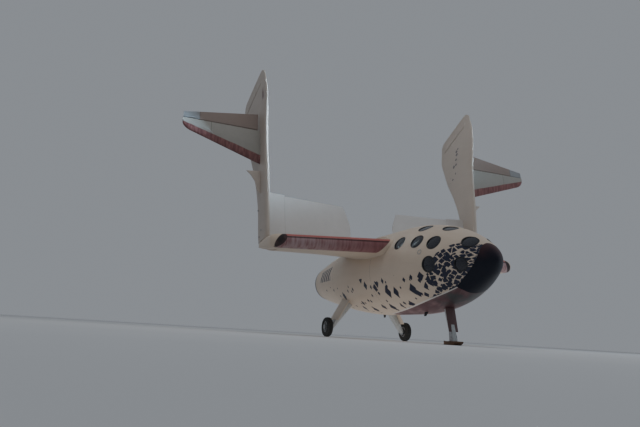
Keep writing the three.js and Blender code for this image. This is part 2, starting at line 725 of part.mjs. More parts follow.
function buildGear(craft) {
  const hullKeepOut = hullSolid(600, 5200, -seam * 1.5);
  const x = -wheel.station;
  const axle = -axisHeight + wheel.radius;
  const legOutline = [
    [360, -560],
    [500, -480],
    [wheel.y - 95, axle + 60],
    [wheel.y - 75, axle + 30],
    [wheel.y - 75, axle - 35],
    [wheel.y - 100, axle - 35],
    [wheel.y - 135, axle + 10],
  ];
  // The gear door is fixed to the leg's outer side and hangs beside it
  const doorOutline = [[467, -428], [731, -902], [744, -895], [480, -421]];
  const doorReach = 210;
  const brake = { inner: wheel.y - 80, outer: wheel.y - 68, radius: 75 };
  const leg = extrudeX(legOutline, x - 70, x + 70)
    .add(extrudeX(doorOutline, x - doorReach, x + doorReach))
    .subtract(hullKeepOut)
    .add(bar([x, wheel.y - 80, axle], [x, wheel.y + 60, axle], 18))
    .add(bar([x, brake.inner, axle], [x, brake.outer, axle], brake.radius, 20));
  const tyreTurn = (profile, sidesAround) => {
    const points = profile.map(([radius, y]) => new THREE.Vector2(radius, y));
    const geometry = new THREE.LatheGeometry(points, sidesAround);
    geometry.translate(x, wheel.y, axle);
    return toSolid(geometry);
  };
  const half = wheel.width / 2;
  const tyre = tyreTurn([
    [wheel.rimRadius, -half + 15],
    [wheel.rimRadius + 25, -half + 4],
    [wheel.radius - 35, -half],
    [wheel.radius - 10, -half + 18],
    [wheel.radius, -25],
    [wheel.radius, 25],
    [wheel.radius - 10, half - 18],
    [wheel.radius - 35, half],
    [wheel.rimRadius + 25, half - 4],
    [wheel.rimRadius, half - 15],
    [wheel.rimRadius, -half + 15],
  ], 24);
  const rimOuter = wheel.rimRadius - seam * 1.6;
  const rim = tyreTurn([
    [18.6, -half + 5],
    [45, -half + 5],
    [55, -20],
    [rimOuter - 18, -20],
    [rimOuter - 10, -half + 18],
    [rimOuter, -half + 18],
    [rimOuter, half - 18],
    [rimOuter - 10, half - 18],
    [rimOuter - 18, 20],
    [55, 20],
    [45, half + 4],
    [18.6, half + 4],
    [18.6, -half + 5],
  ], 24);
  sides.forEach(([label, side]) => {
    put(craft, `gear_leg_${label}`, mirrored(leg, side), steel());
    put(craft, `tyre_${label}`, mirrored(tyre, side), rubber());
    put(craft, `wheel_rim_${label}`, mirrored(rim, side), steel());
  });

  const floor = -axisHeight;
  const shoeBack = -(skid.station + skid.length / 2);
  const shoe = extrudeY([
    [shoeBack, floor],
    [shoeBack + skid.length - 70, floor],
    [shoeBack + skid.length, floor + 45],
    [shoeBack + skid.length - 15, floor + 60],
    [shoeBack + skid.length - 90, floor + skid.thickness],
    [shoeBack, floor + skid.thickness],
  ], -skid.width / 2, skid.width / 2);
  const footTop = floor + skid.thickness + seam;
  const strut = extrudeY([
    [-skid.station - 60, footTop],
    [-skid.station + 50, footTop],
    [-skid.station + 30, footTop + 60],
    [-skid.station - 150, -540],
    [-skid.station - 290, -540],
    [-skid.station - 60, footTop + 90],
  ], -38, 38).subtract(hullKeepOut);
  put(craft, 'nose_skid_strut', strut, steel());
  put(craft, 'nose_skid_shoe', shoe, phenolic());
}

// Cabin

function buildCabin(craft) {
  const room = hullSolid(300, cabinEnd - 4, wallThickness + seam * 2);
  const floorTop = -400;
  const deck = box(-cabinEnd + 10, -800, -900, 900, floorTop - 24, floorTop).intersect(room);
  put(craft, 'cabin_floor', deck, darkMetal());
  const base = floorTop + seam;
  const seatOutline = [
    [0, base],
    [300, base],
    [360, base + 160],
    [380, base + 230],
    [120, base + 215],
    [-60, base + 760],
    [-150, base + 740],
    [0, base + 180],
  ];
  // Seats: [name, station of the seat's back foot, y]
  const seats = [['pilot_seat', 1560, 0], ['passenger_seat_left', 2480, 290], ['passenger_seat_right', 2480, -290]];
  seats.forEach(([name, station, y]) => {
    const outline = seatOutline.map(([x, z]) => [x - station, z]);
    put(craft, name, extrudeY(outline, y - 210, y + 210), fabric());
  });
  const panel = extrudeY([
    [-960, base],
    [-900, base],
    [-830, base + 420],
    [-870, base + 520],
    [-930, base + 500],
  ], -170, 170);
  put(craft, 'instrument_panel', panel, panelDark());
}

const craft = new THREE.Group();
craft.position.set(originStation, 0, axisHeight);

const feather = new THREE.Group();
feather.position.set(-hinge.station, 0, hinge.height);
feather.rotation.y = THREE.MathUtils.degToRad(raisedDegrees);
craft.add(feather);

buildHull(craft);
put(craft, 'rocket_motor', revolve(motorProfile, 24), darkMetal());
buildWings(craft);
buildGear(craft);
buildCabin(craft);
buildFlaps(feather);
buildFins(feather);
buildTailplanes(feather);

const part = new THREE.Group();
part.add(craft);

export default part;
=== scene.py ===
import json
from math import copysign, cos, exp, pi, radians, sin, sqrt, tau
import bmesh
import bpy
from mathutils import Matrix, Vector


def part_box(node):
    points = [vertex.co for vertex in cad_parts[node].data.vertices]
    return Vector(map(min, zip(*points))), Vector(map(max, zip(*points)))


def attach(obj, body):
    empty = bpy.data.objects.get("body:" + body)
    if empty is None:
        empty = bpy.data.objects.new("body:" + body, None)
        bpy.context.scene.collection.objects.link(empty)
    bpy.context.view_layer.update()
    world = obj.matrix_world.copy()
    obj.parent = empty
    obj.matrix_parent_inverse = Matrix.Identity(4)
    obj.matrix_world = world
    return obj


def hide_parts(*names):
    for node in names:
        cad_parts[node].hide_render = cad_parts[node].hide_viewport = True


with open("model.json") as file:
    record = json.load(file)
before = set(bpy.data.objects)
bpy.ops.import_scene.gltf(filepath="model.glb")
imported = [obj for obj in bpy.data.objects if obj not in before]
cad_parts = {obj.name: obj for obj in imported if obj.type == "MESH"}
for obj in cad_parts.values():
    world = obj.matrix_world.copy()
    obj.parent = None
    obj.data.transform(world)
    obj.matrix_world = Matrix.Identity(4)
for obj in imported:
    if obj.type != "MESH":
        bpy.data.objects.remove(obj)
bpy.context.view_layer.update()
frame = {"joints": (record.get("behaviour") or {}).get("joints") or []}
print("frame loaded")

# Places that several pieces share, in metres: stations run aft from a datum, heights from the hull's axis
hinge = next(joint for joint in frame["joints"] if joint["name"] == "feather_hinge")
hingeSpot = Vector(hinge["pos_m"])
featherTurn = radians(-hinge["range_deg"][0])
turnCos, turnSin = cos(featherTurn), sin(featherTurn)
hull = {
    "axisHeight": 1.24,
    "radius": 0.762,
    "noseTip": 0.16,
    "noseApex": 0.06,  # where the nose's curve would end if it weren't blunted
    "bluntEnd": 0.36,
    "noseEnd": 2.35,
    "taperStart": 3.425,
    "end": 6.524,
    "tailRadius": 0.38,
    "wall": 0.03,
    "cabinEnd": 2.75,
    "tankEnd": 4.75,
    "boreRadius": 0.0335,  # for the moving tail's cross tube
    "steps": 96,
}
skinGap = 0.0003  # between neighbours along the hull and wing
cutGap = 0.0004  # around what is cut to fit the hull
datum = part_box("nose_cap")[1].x + hull["noseTip"]
bothSides = (("left", 1), ("right", -1))


def shipPoint(station, y, height):
    return Vector((datum - station, y, hull["axisHeight"] + height))


def featherPoint(aft, y, height):  # from the moving tail's own directions, as it stands raised
    return hingeSpot + Vector((height * turnSin - aft * turnCos, y, aft * turnSin + height * turnCos))


def hullRadius(station):
    if station <= hull["noseTip"]:
        return 0.0
    if station < hull["noseEnd"]:
        ahead = (hull["noseEnd"] - station) / (hull["noseEnd"] - hull["noseApex"])
        blunt = max((hull["bluntEnd"] - station) / (hull["bluntEnd"] - hull["noseTip"]), 0)
        return hull["radius"] * (1 - ahead**2.32) ** 0.86 * sqrt(1 - blunt**3)
    along = max(station - hull["taperStart"], 0) / (hull["end"] - hull["taperStart"])
    return hull["radius"] - (hull["radius"] - hull["tailRadius"]) * along**1.5


def hullSpot(station, degrees, grow=0.0):  # station, y and height of a place on the port side
    turn, reach = radians(degrees), hullRadius(station) + grow
    return station, reach * cos(turn), reach * sin(turn)


def mix(a, b, share):
    return a + (b - a) * share


def evenly(first, last, count):
    return [mix(first, last, i / count) for i in range(count + 1)]


def smoothStep(low, high, value):
    share = min(max((value - low) / (high - low), 0), 1)
    return share * share * (3 - 2 * share)


def smoothTable(table, value):  # a curve through rows of (input, output)
    last = len(table) - 1
    row = max(i for i in range(last) if i == 0 or table[i][0] <= value)
    (x1, y1), (x2, y2) = table[row], table[row + 1]
    x0, y0 = table[max(row - 1, 0)]
    x3, y3 = table[min(row + 2, last)]
    t = min(max((value - x1) / (x2 - x1), 0), 1)
    startSlope = (y2 - y0) / (x2 - x0) * (x2 - x1)
    endSlope = (y3 - y1) / (x3 - x1) * (x2 - x1)
    start = y1 * (2 * t**3 - 3 * t**2 + 1) + startSlope * (t**3 - 2 * t**2 + t)
    return start + y2 * (3 * t**2 - 2 * t**3) + endSlope * (t**3 - t**2)


def inScene(name, data):
    made = bpy.data.objects.new(name, data)
    bpy.context.scene.collection.objects.link(made)
    return made


# Camera at floor level, at the photo's viewing angle, with its roll
view = {
    "station": -6.523,
    "y": -5.219,
    "aboveFloor": 0.06,
    "direction": (-0.9176, 0.3413, 0.2038),
    "up": (0.1696, -0.1276, 0.9772),
    "lens": 32.26,
    "sensor": 36,
}


def addCamera():
    data = bpy.data.cameras.new("camera")
    data.lens, data.sensor_width = view["lens"], view["sensor"]
    camera = inScene("camera", data)
    back = -Vector(view["direction"]).normalized()
    right = Vector(view["up"]).cross(back).normalized()
    turn = Matrix((right, back.cross(right), back)).transposed().to_4x4()
    place = shipPoint(view["station"], view["y"], view["aboveFloor"] - hull["axisHeight"])
    camera.matrix_world = Matrix.Translation(place) @ turn
    bpy.context.scene.camera = camera


addCamera()


# Shader work: a socket with arithmetic, and a finish that holds one material's nodes and its slot
class Wire:
    def __init__(self, finish, socket):
        self.finish = finish
        self.socket = socket

    def maths(self, operation, *others):
        return self.finish.node("ShaderNodeMath", {"operation": operation}, dict(enumerate((self, *others))))

    def __rsub__(self, other):
        return self.finish.node("ShaderNodeMath", {"operation": "SUBTRACT"}, {0: other, 1: self})

    def __abs__(self):
        return self.maths("ABSOLUTE")

    def clamped(self):
        return self.maths("MAXIMUM", 0).maths("MINIMUM", 1)

    def between(self, low, high):
        return (self > low) * (self < high)

    def ramp(self, low, high):  # 0 below low, 1 above high, smooth between
        settings = {"interpolation_type": "SMOOTHSTEP"}
        return self.finish.node("ShaderNodeMapRange", settings, {0: self, 1: low, 2: high, 3: 0, 4: 1})

    def under(self, low, high):  # the other way round
        return 1 - self.ramp(low, high)


operators = {"add": "ADD", "radd": "ADD", "sub": "SUBTRACT", "mul": "MULTIPLY", "rmul": "MULTIPLY",
    "truediv": "DIVIDE", "pow": "POWER", "gt": "GREATER_THAN", "lt": "LESS_THAN"}
for word, operation in operators.items():
    setattr(Wire, f"__{word}__", lambda wire, other, operation=operation: wire.maths(operation, other))


class Finish:
    def __init__(self, name, slot, **sockets):
        self.slot = slot
        self.material = bpy.data.materials.new(name)
        self.material.use_nodes = True
        self.tree = self.material.node_tree
        self.shader = self.tree.nodes["Principled BSDF"]
        for label, value in sockets.items():
            self.shader.inputs[label.replace("_", " ")].default_value = value

    def node(self, kind, settings=None, values=None, output=0):
        made = self.tree.nodes.new(kind)
        for key, value in (settings or {}).items():
            setattr(made, key, value)
        for key, value in (values or {}).items():
            if isinstance(value, Wire):
                self.tree.links.new(value.socket, made.inputs[key])
            else:
                made.inputs[key].default_value = value
        return Wire(self, made.outputs[output])

    def feed(self, label, wire):
        self.tree.links.new(wire.socket, self.shader.inputs[label])

    def place(self):  # x, y and z on the object
        spot = self.node("ShaderNodeTexCoord", output="Object")
        return [self.node("ShaderNodeSeparateXYZ", None, {0: spot}, axis) for axis in range(3)]

    def shipPlace(self):  # station, y, height and degrees above the horizontal
        x, y, z = self.place()
        height = z - hull["axisHeight"]
        return datum - x, y, height, height.maths("ARCTAN2", abs(y)) * (180 / pi)

    def featherPlace(self):  # distance aft of the hinge, y and height above it
        x, y, z = self.place()
        ahead, above = x - hingeSpot.x, z - hingeSpot.z
        return above * turnSin - ahead * turnCos, y, ahead * turnSin + above * turnCos

    def noise(self, scale, detail=3, stretch=(1, 1, 1), roughness=0.5):
        spot = self.node("ShaderNodeTexCoord", output="Object")
        spot = self.node("ShaderNodeMapping", {"vector_type": "POINT"}, {"Vector": spot, "Scale": stretch})
        values = {"Vector": spot, "Scale": scale, "Detail": detail, "Roughness": roughness}
        return self.node("ShaderNodeTexNoise", {"noise_dimensions": "3D"}, values)

    def colours(self, share, first, second):  # each a wire, three numbers or a name in the paint list
        ends = [paint[end] if isinstance(end, str) else end for end in (first, second)]
        first, second = [end if isinstance(end, Wire) else (*end, 1) for end in ends]
        return self.node("ShaderNodeMix", {"data_type": "RGBA"}, {0: share, 6: first, 7: second}, 2)

    def bump(self, height, strength, distance):
        values = {"Height": height, "Strength": strength, "Distance": distance}
        self.feed("Normal", self.node("ShaderNodeBump", None, values))


satin = {"Coat_Weight": 0.15, "Coat_Roughness": 0.25}
paint = {
    "cream": (0.653, 0.529, 0.412),
    "creamDark": (0.5, 0.401, 0.31),
    # painted shade: the flap rows are the cream paint turned grey, in the tone the aft wing panels take in
    # the cool light around them
    "flap": (0.585, 0.556, 0.53),
    "flapDark": (0.472, 0.447, 0.42),
    # painted shade: the fin rows are the cream paint made darker, for the shade on the fins and rudders
    "fin": (0.495, 0.423, 0.362),
    "finDark": (0.378, 0.325, 0.275),
    # painted shade: the tailplane rows are the cream paint made much darker, for the shade on the tailplanes
    "tailplane": (0.298, 0.277, 0.243),
    "tailplaneDark": (0.231, 0.214, 0.188),
    "tailplaneSeam": (0.16, 0.145, 0.125),
    # painted shade: the control rows are the cream paint made dark brown-grey, for the shade on the elevons
    "control": (0.244, 0.185, 0.156),
    "controlDark": (0.183, 0.141, 0.118),
    "tab": (0.235, 0.235, 0.235),
    "gearDoor": (0.612, 0.513, 0.412),
    "gearDoorDark": (0.486, 0.399, 0.323),
    "skidDoor": (0.12, 0.062, 0.06),
    "skidDoorDark": (0.085, 0.044, 0.043),
    "navy": (0.005, 0.008, 0.032),
    "patch": (0.121, 0.055, 0.058),
    "patchPale": (0.253, 0.149, 0.146),
    "patchWorn": (0.07, 0.072, 0.07),
    "patchSeam": (0.66, 0.6, 0.54),
    "cap": (0.004, 0.006, 0.015),
    # painted sheen: the lighter, redder colour for the nose cap's top
    "capTopSheen": (0.055, 0.02, 0.024),
    "coatRed": (0.281, 0.112, 0.112),
    "coatPink": (0.396, 0.273, 0.267),
    "coatStreak": (0.228, 0.088, 0.088),
    "coatTop": (0.44, 0.14, 0.12),
    "coatDark": (0.035, 0.015, 0.016),
    "coatEnd": (0.03, 0.02, 0.02),
    "coatEndPale": (0.075, 0.04, 0.038),
    "tailCoat": (0.135, 0.05, 0.049),
    "tailCoatPale": (0.239, 0.107, 0.096),
    "seam": (0.12, 0.1, 0.085),
    "surround": (0.012, 0.012, 0.014),
}


def creamColour(finish, shade="cream"):  # paint with faint clouds, streaks and smudges
    clouds = finish.noise(1.3, 4)
    streaks = finish.noise(9, 3, (0.15, 1, 1))
    smudges = finish.noise(5, 6, roughness=0.7).ramp(0.62, 0.8) * 0.35
    share = (clouds * 0.7 + streaks * 0.45 - 0.35 + smudges).clamped()
    return finish.colours(share, shade, shade + "Dark")


def painted(finish, colour):  # in a colour, with a slightly uneven surface
    finish.feed("Base Color", colour)
    finish.feed("Roughness", finish.noise(14, 3) * 0.16 + 0.4)
    finish.bump(finish.noise(60, 3) * 0.3 + finish.noise(3, 2) * 0.5, 0.12, 0.004)
    return finish


def creamPaint(shade="cream", slot="ivory_skin"):
    finish = Finish(shade + "Finish", slot, **satin)
    return painted(finish, creamColour(finish, shade))


def diamonds(finish, station, arc, cell, fill, share, apart=0.12):  # lozenges that never touch each other
    spot = finish.node("ShaderNodeCombineXYZ", None, {0: station, 1: arc * 0.8})
    values = {"Vector": spot, "Scale": 1 / cell, "Randomness": 0.8}

    def cells(output, feature="F1"):
        settings = {"voronoi_dimensions": "2D", "distance": "MANHATTAN", "feature": feature}
        return finish.node("ShaderNodeTexVoronoi", settings, values, output)

    nearest, following, draw = cells("Distance"), cells("Distance", "F2"), {0: cells("Color")}
    luck = finish.node("ShaderNodeSeparateColor", None, draw, "Red")
    size = finish.node("ShaderNodeSeparateColor", None, draw, "Green") * 0.5 + 0.5
    return (nearest < size * fill) * (luck < share) * (following - nearest > apart)


# The belly patch's edge in degrees and how it falls, and the bars' place and pitch
belly = {"start": 1.18, "end": 3.0, "reach": 1.84, "edge": -57, "drop": 25}
bars = {"stations": (4.95, 5.85), "degrees": (-6, 22), "slant": 0.006, "close": 36, "level": -0.2}


def navyMarks(finish, station, y, height, degrees):  # lozenges behind the nose cap, and bars aft
    arc = y.maths("ARCTAN2", height) * hull["radius"]
    upperEdge = (93 - station * 86).maths("MAXIMUM", -8 - station * 2)
    band = (upperEdge - degrees).ramp(-5, 9) * (degrees + 78).ramp(0, 10)
    crowded = station.under(0.75, 1.5)
    share = (1 - ((station - 0.45) / 4.8).clamped()) ** 1.3 * 0.6 * band
    aftBand = band * station.ramp(3, 3.6) * station.under(5.2, 5.6) * (degrees + 34).ramp(0, 8)
    scatter = [  # shift along the hull, cell size, fill, share
        (0, 0.25, 0.42, share * (1 - crowded * 0.6)),
        (3.3, 0.17, 0.44, share * 0.9),
        (7.1, 0.1, 0.4, share * 0.6 + aftBand * 0.22),
        (11.7, 0.1, 0.85, crowded * band * 1.1),
        (17.9, 0.075, 0.6, crowded * band * 0.5),
    ]
    waves = ((station + degrees * bars["slant"]) * bars["close"]).maths("SINE") > bars["level"]
    navy = waves * (y < 0) * station.between(*bars["stations"]) * degrees.between(*bars["degrees"])
    for shift, cell, fill, layerShare in scatter:
        navy = navy.maths("MAXIMUM", diamonds(finish, station + shift, arc, cell, fill, layerShare))
    return navy


def hullPaint():
    finish = Finish("hullPaint", "ivory_skin", **satin)
    station, y, height, degrees = finish.shipPlace()
    colour = finish.colours(navyMarks(finish, station, y, height, degrees), creamColour(finish), "navy")
    for joint in (hull["cabinEnd"], hull["tankEnd"]):
        colour = finish.colours(abs(station - joint).under(0.001, 0.003), colour, "seam")
    spot = finish.node("ShaderNodeCombineXYZ", None, dict(enumerate((station, abs(y), height))))

    def distance(*centre):
        values = {0: spot, 1: hullSpot(*centre)}
        return finish.node("ShaderNodeVectorMath", {"operation": "DISTANCE"}, values, "Value")

    for *centre, radius in windows:
        colour = finish.colours(distance(*centre).under(radius + 0.009, radius + 0.013), colour, "surround")
    fromEdge = abs(distance(hatch["station"], hatch["degrees"]) - hatch["radius"])
    colour = finish.colours(fromEdge.under(0.004, 0.007) * (y > 0), colour, "seam")
    # The coated belly patch, worn grey near the nose, with a pale seam above its edge
    drop = ((station - belly["start"]).maths("MAXIMUM", 0) / belly["reach"]) ** 1.5 * belly["drop"]
    below = belly["edge"] - drop - degrees
    ahead = station.under(belly["end"], belly["end"] + 0.06)
    onPatch = below.ramp(0, 0.6) * ahead
    patch = finish.colours(finish.noise(3.2, 5, (1, 2.2, 1)).ramp(0.42, 0.68), "patch", "patchPale")
    worn = station.under(0.9, 1.7) * finish.noise(4, 4).ramp(0.4, 0.6)
    patch = finish.colours(worn, patch, "patchWorn")
    colour = finish.colours(below.ramp(-2.2, -1.8) * (1 - onPatch) * ahead, colour, "patchSeam")
    return painted(finish, finish.colours(onPatch, colour, patch))


def nosePaint():
    sockets = {"Roughness": 0.45, "Specular_IOR_Level": 0.22, "Coat_Weight": 0.1, "Coat_Roughness": 0.2}
    finish = Finish("nosePaint", "nose_coating", **sockets)
    height = finish.shipPlace()[2]
    # painted sheen: the cap is painted lighter and redder towards its top, in place of a soft sheen of light
    # across it
    upper = (height * 2.2 + finish.noise(2.2, 3) * 1.4 - 0.55).ramp(0.05, 0.8)
    finish.feed("Base Color", finish.colours(upper, "cap", "capTopSheen"))
    finish.bump(finish.noise(40, 3), 0.15, 0.003)
    return finish


coatEnd = {"y": 2.395, "lean": 0.48, "halfWidth": 0.075, "halfHeight": 0.118}
coatRoot = {"y": 0.655, "rise": 0.1, "lean": 0.17 / 0.22}


def edgeCoat():  # the wing's leading edge: dull red on top, a dark line in front, mottled pink below
    finish = Finish("edgeCoat", "heat_coating")
    y, height = finish.shipPlace()[1:3]
    rise = height - wing["midHeight"]
    streaks = finish.noise(26, 4, (0.2, 1, 0.12)) * 0.8 + finish.noise(5, 4) * 0.5 - 0.15
    lower = finish.colours(abs(y).ramp(0.7, 2.2), "coatRed", "coatPink")
    lower = finish.colours(streaks.ramp(0.42, 0.75), lower, "coatStreak")
    line = rise.ramp(0.035, 0.055) * rise.under(0.066, 0.078)
    colour = finish.colours(line * 0.85, lower, "coatDark")
    colour = finish.colours(rise.ramp(0.07, 0.08), colour, "coatTop")
    # Its dark end is a leaning oval, with cream outboard of it
    across = abs(y) - coatEnd["y"] + rise * coatEnd["lean"]
    away = (across / coatEnd["halfWidth"]) ** 2 + (rise / coatEnd["halfHeight"]) ** 2
    colour = finish.colours(across.ramp(-0.006, 0.006), colour, creamColour(finish))
    oval = finish.colours(finish.noise(7, 3).ramp(0.4, 0.7), "coatEnd", "coatEndPale")
    colour = finish.colours(away.under(0.85, 1.15), colour, oval)
    wedge = (coatRoot["rise"] - rise) * coatRoot["lean"] + coatRoot["y"]  # the root's fillet covers it
    atRoot = (abs(y) - wedge).under(-0.004, 0.004)
    finish.feed("Base Color", finish.colours(atRoot, colour, creamColour(finish)))
    finish.feed("Roughness", streaks * 0.3 + 0.5)
    finish.bump(finish.noise(50, 4, (0.3, 1, 0.3)), 0.25, 0.003)
    return finish


def finPaint():  # a column of navy lozenges on the port fin's inner side, and a smear on the starboard fin
    finish = Finish("finPaint", "ivory_skin", **satin)
    aft, y, height = finish.featherPlace()
    inboard = (y > 0) * (y < aft * boom["splay"] - height * boom["cant"] + boom["y"])
    column = inboard * aft.between(2.3, 3.2) * (abs(height + 0.12 + (3.2 - aft) * 0.35) < 0.13)
    marks = diamonds(finish, aft, height, 0.12, 0.42, 0.75) * column
    # painted shade: the fins get the darker copy of the cream
    colour = finish.colours(marks * 0.75, creamColour(finish, "fin"), "navy")
    smear = (y < -boom["y"]) * aft.ramp(3.02, 3.14) * aft.under(3.28, 3.4)
    smear *= height.ramp(0.24, 0.29) * height.under(0.35, 0.4)
    smear *= finish.noise(12, 3, (1, 1, 0.3)).ramp(0.35, 0.6)
    return painted(finish, finish.colours(smear * 0.8, colour, "patch"))


def tailPaint():  # cream behind a red-brown band along the tailplane's leading edge
    finish = Finish("tailPaint", "ivory_skin", Coat_Weight=0.1, Coat_Roughness=0.3)
    aft, y, _ = finish.featherPlace()
    span = (abs(y) - tail["rootY"]) / (tail["tipY"] - tail["rootY"])
    leading = span * (tail["tipLeading"] - tail["rootLeading"]) + tail["rootLeading"]
    behind = aft - leading - (1 - span) * 0.06 + finish.noise(8, 3) * 0.02
    coat = finish.colours(finish.noise(22, 3, (1, 1, 0.2)).ramp(0.35, 0.7), "tailCoat", "tailCoatPale")
    # painted shade: the tailplane gets a much darker copy of the cream
    plain = creamColour(finish, "tailplane")
    plain = finish.colours(abs(abs(y) - tail["seamY"]).under(0.003, 0.007), plain, "tailplaneSeam")
    return painted(finish, finish.colours(behind.under(0.125, 0.14), plain, coat))


def controlPaint():  # the elevon: brown-grey, with a paler tab near its end
    finish = Finish("controlPaint", "control_skin", Coat_Weight=0.1)
    beyond = abs(finish.place()[1]) - tail["tabY"]
    # painted shade: the elevon gets a dark brown-grey copy of the cream
    colour = finish.colours(beyond.ramp(-0.002, 0.002), creamColour(finish, "control"), "tab")
    return painted(finish, finish.colours(abs(beyond).under(0.003, 0.006), colour, "seam"))


def plainFinish(name, slot, colour, second, roughness, metallic=0.0, scale=18, grain=0.2):
    finish = Finish(name, slot, Metallic=metallic)
    finish.feed("Base Color", finish.colours(finish.noise(scale, 4).ramp(0.3, 0.75), colour, second))
    finish.feed("Roughness", finish.noise(scale * 2, 3) * 0.2 + (roughness - 0.1))
    finish.bump(finish.noise(scale * 5, 3), grain, 0.001)
    return finish


def glassFinish():
    sockets = {"Roughness": 0.04, "IOR": 1.5, "Coat_Weight": 0.6, "Coat_Roughness": 0.03}
    finish = Finish("windowGlass", "window_glass", **sockets)
    haze = finish.noise(6, 3)
    finish.feed("Base Color", finish.colours(haze, (0.009, 0.01, 0.017), (0.03, 0.03, 0.044)))
    finish.feed("Alpha", haze * 0.1 + 0.74)
    return finish


def weave(name, colour, second):
    finish = Finish(name, "seat_fabric", Roughness=0.85, Sheen_Weight=0.3)
    x, y, z = finish.place()
    threads = ((x + z) * 1400).maths("SINE") * (y * 1400).maths("SINE")
    share = (threads * 0.5 + 0.5) * 0.6 + finish.noise(10, 3) * 0.4
    finish.feed("Base Color", finish.colours(share, colour, second))
    finish.bump(threads, 0.4, 0.0006)
    return finish


def shoeFinish():  # laminated phenolic: fine layers and long scratches
    finish = Finish("shoeLaminate", "skid_wood", Roughness=0.55)
    height = finish.place()[2]
    layers = ((height * 1800 + finish.noise(5, 3) * 3).maths("SINE") * 0.5 + 0.5) * 0.6
    scratches = finish.noise(60, 4, (0.06, 1, 1)).ramp(0.45, 0.75)
    share = layers + scratches * 0.4
    finish.feed("Base Color", finish.colours(share, (0.17, 0.085, 0.04), (0.07, 0.035, 0.018)))
    finish.bump(scratches + layers, 0.3, 0.001)
    return finish


# Mesh helpers
def meshOf(name, bm):
    mesh = bpy.data.meshes.new(name)
    bm.to_mesh(mesh)
    bm.free()
    return mesh


def box(low, high):
    bm = bmesh.new()
    bmesh.ops.create_cube(bm, size=1)
    bmesh.ops.scale(bm, vec=Vector(high) - Vector(low), verts=bm.verts)
    bmesh.ops.translate(bm, vec=(Vector(high) + Vector(low)) / 2, verts=bm.verts)
    return bm


def aim(point, direction):  # takes the z axis to a direction at a point
    turn = Vector(direction).to_track_quat("Z", "Y").to_matrix().to_4x4()
    return Matrix.Translation(point) @ turn


def turnAbout(bm, spot, angle, axis):
    place = Matrix.Translation(spot) @ Matrix.Rotation(angle, 4, axis) @ Matrix.Translation(-spot)
    bmesh.ops.transform(bm, matrix=place, verts=bm.verts)
    return bm


def lathe(profile, place, steps=48, closed=True):  # (radius, distance) pairs turned about an axis
    bm = bmesh.new()
    verts = [bm.verts.new((radius, 0, along)) for radius, along in profile]
    following = verts[1:] + (verts[:1] if closed else [])
    edges = [bm.edges.new(pair) for pair in zip(verts, following)]
    turn = {"cent": (0, 0, 0), "axis": (0, 0, 1), "angle": tau}
    bmesh.ops.spin(bm, geom=verts + edges, steps=steps, use_merge=True, **turn)
    bmesh.ops.remove_doubles(bm, verts=bm.verts, dist=1e-6)
    bmesh.ops.transform(bm, matrix=place, verts=bm.verts)
    bmesh.ops.recalc_face_normals(bm, faces=bm.faces)
    return bm


def skin(sections):  # one outline after another, drawn out edge by edge and closed at both ends
    bm = bmesh.new()
    order = bm.verts.layers.int.new("order")
    verts = [bm.verts.new(point) for point in sections[0]]
    for number, vert in enumerate(verts):
        vert[order] = number
    first = edges = [bm.edges.new(pair) for pair in zip(verts, verts[1:] + verts[:1])]
    for section in sections[1:]:
        made = bmesh.ops.extrude_edge_only(bm, edges=edges)["geom"]
        edges = [item for item in made if isinstance(item, bmesh.types.BMEdge) and item.is_boundary]
        for vert in {vert for edge in edges for vert in edge.verts}:
            vert.co = section[vert[order]]
    for ends in (first, edges):
        bmesh.ops.contextual_create(bm, geom=ends)
    bmesh.ops.recalc_face_normals(bm, faces=bm.faces)
    return bm


def rod(start, end, radius, steps=16):
    reach = (Vector(end) - Vector(start)).length
    profile = [(0, 0), (radius, 0), (radius, reach), (0, reach)]
    return lathe(profile, aim(start, Vector(end) - Vector(start)), steps, closed=False)


def crossRod(spot, low, high, radius, steps=16):  # along y, from low to high beside a spot
    return rod(spot + Vector((0, low, 0)), spot + Vector((0, high, 0)), radius, steps)


def joined(parts):
    whole = bmesh.new()
    for bm in parts:
        mesh = meshOf("joining", bm)
        whole.from_mesh(mesh)
        bpy.data.meshes.remove(mesh)
    return whole


def carved(bm, cutter, operation="DIFFERENCE"):
    target, tool = [inScene("working", meshOf("working", shape)) for shape in (bm, cutter)]
    change = target.modifiers.new("cut", "BOOLEAN")
    change.object, change.operation, change.solver = tool, operation, "EXACT"
    result = bmesh.new()
    result.from_object(target, bpy.context.evaluated_depsgraph_get())
    for made in (target, tool):
        mesh = made.data
        bpy.data.objects.remove(made)
        bpy.data.meshes.remove(mesh)
    return result


def sliced(bm, point, normal):  # takes away what lies on the side that the normal points to
    geometry = bm.verts[:] + bm.edges[:] + bm.faces[:]
    cut = bmesh.ops.bisect_plane(bm, geom=geometry, plane_co=point, plane_no=normal, clear_outer=True)
    edges = [item for item in cut["geom_cut"] if isinstance(item, bmesh.types.BMEdge)]
    bmesh.ops.contextual_create(bm, geom=edges)
    return bm


def rounded(bm, width, segments=2, angle=40):  # bevels the edges that turn by more than the angle
    bmesh.ops.remove_doubles(bm, verts=bm.verts, dist=1e-5)
    sharp = [e for e in bm.edges if len(e.link_faces) == 2 and e.calc_face_angle(0) > radians(angle)]
    settings = {"affect": "EDGES", "profile": 0.5, "material": -1, "clamp_overlap": True}
    bmesh.ops.bevel(bm, geom=sharp, offset=width, segments=segments, **settings)
    return bm


def runAt(points, i):  # which way a line along points runs at one of them
    return points[min(i + 1, len(points) - 1)] - points[max(i - 1, 0)]


def tube(points, radius, steps=10):  # a round line along points, with each ring square to its run
    turns = [tau * k / steps for k in range(steps)]
    rings = [aim(point, runAt(points, i)) for i, point in enumerate(points)]
    return skin([[ring @ Vector((radius * cos(a), radius * sin(a), 0)) for a in turns] for ring in rings])


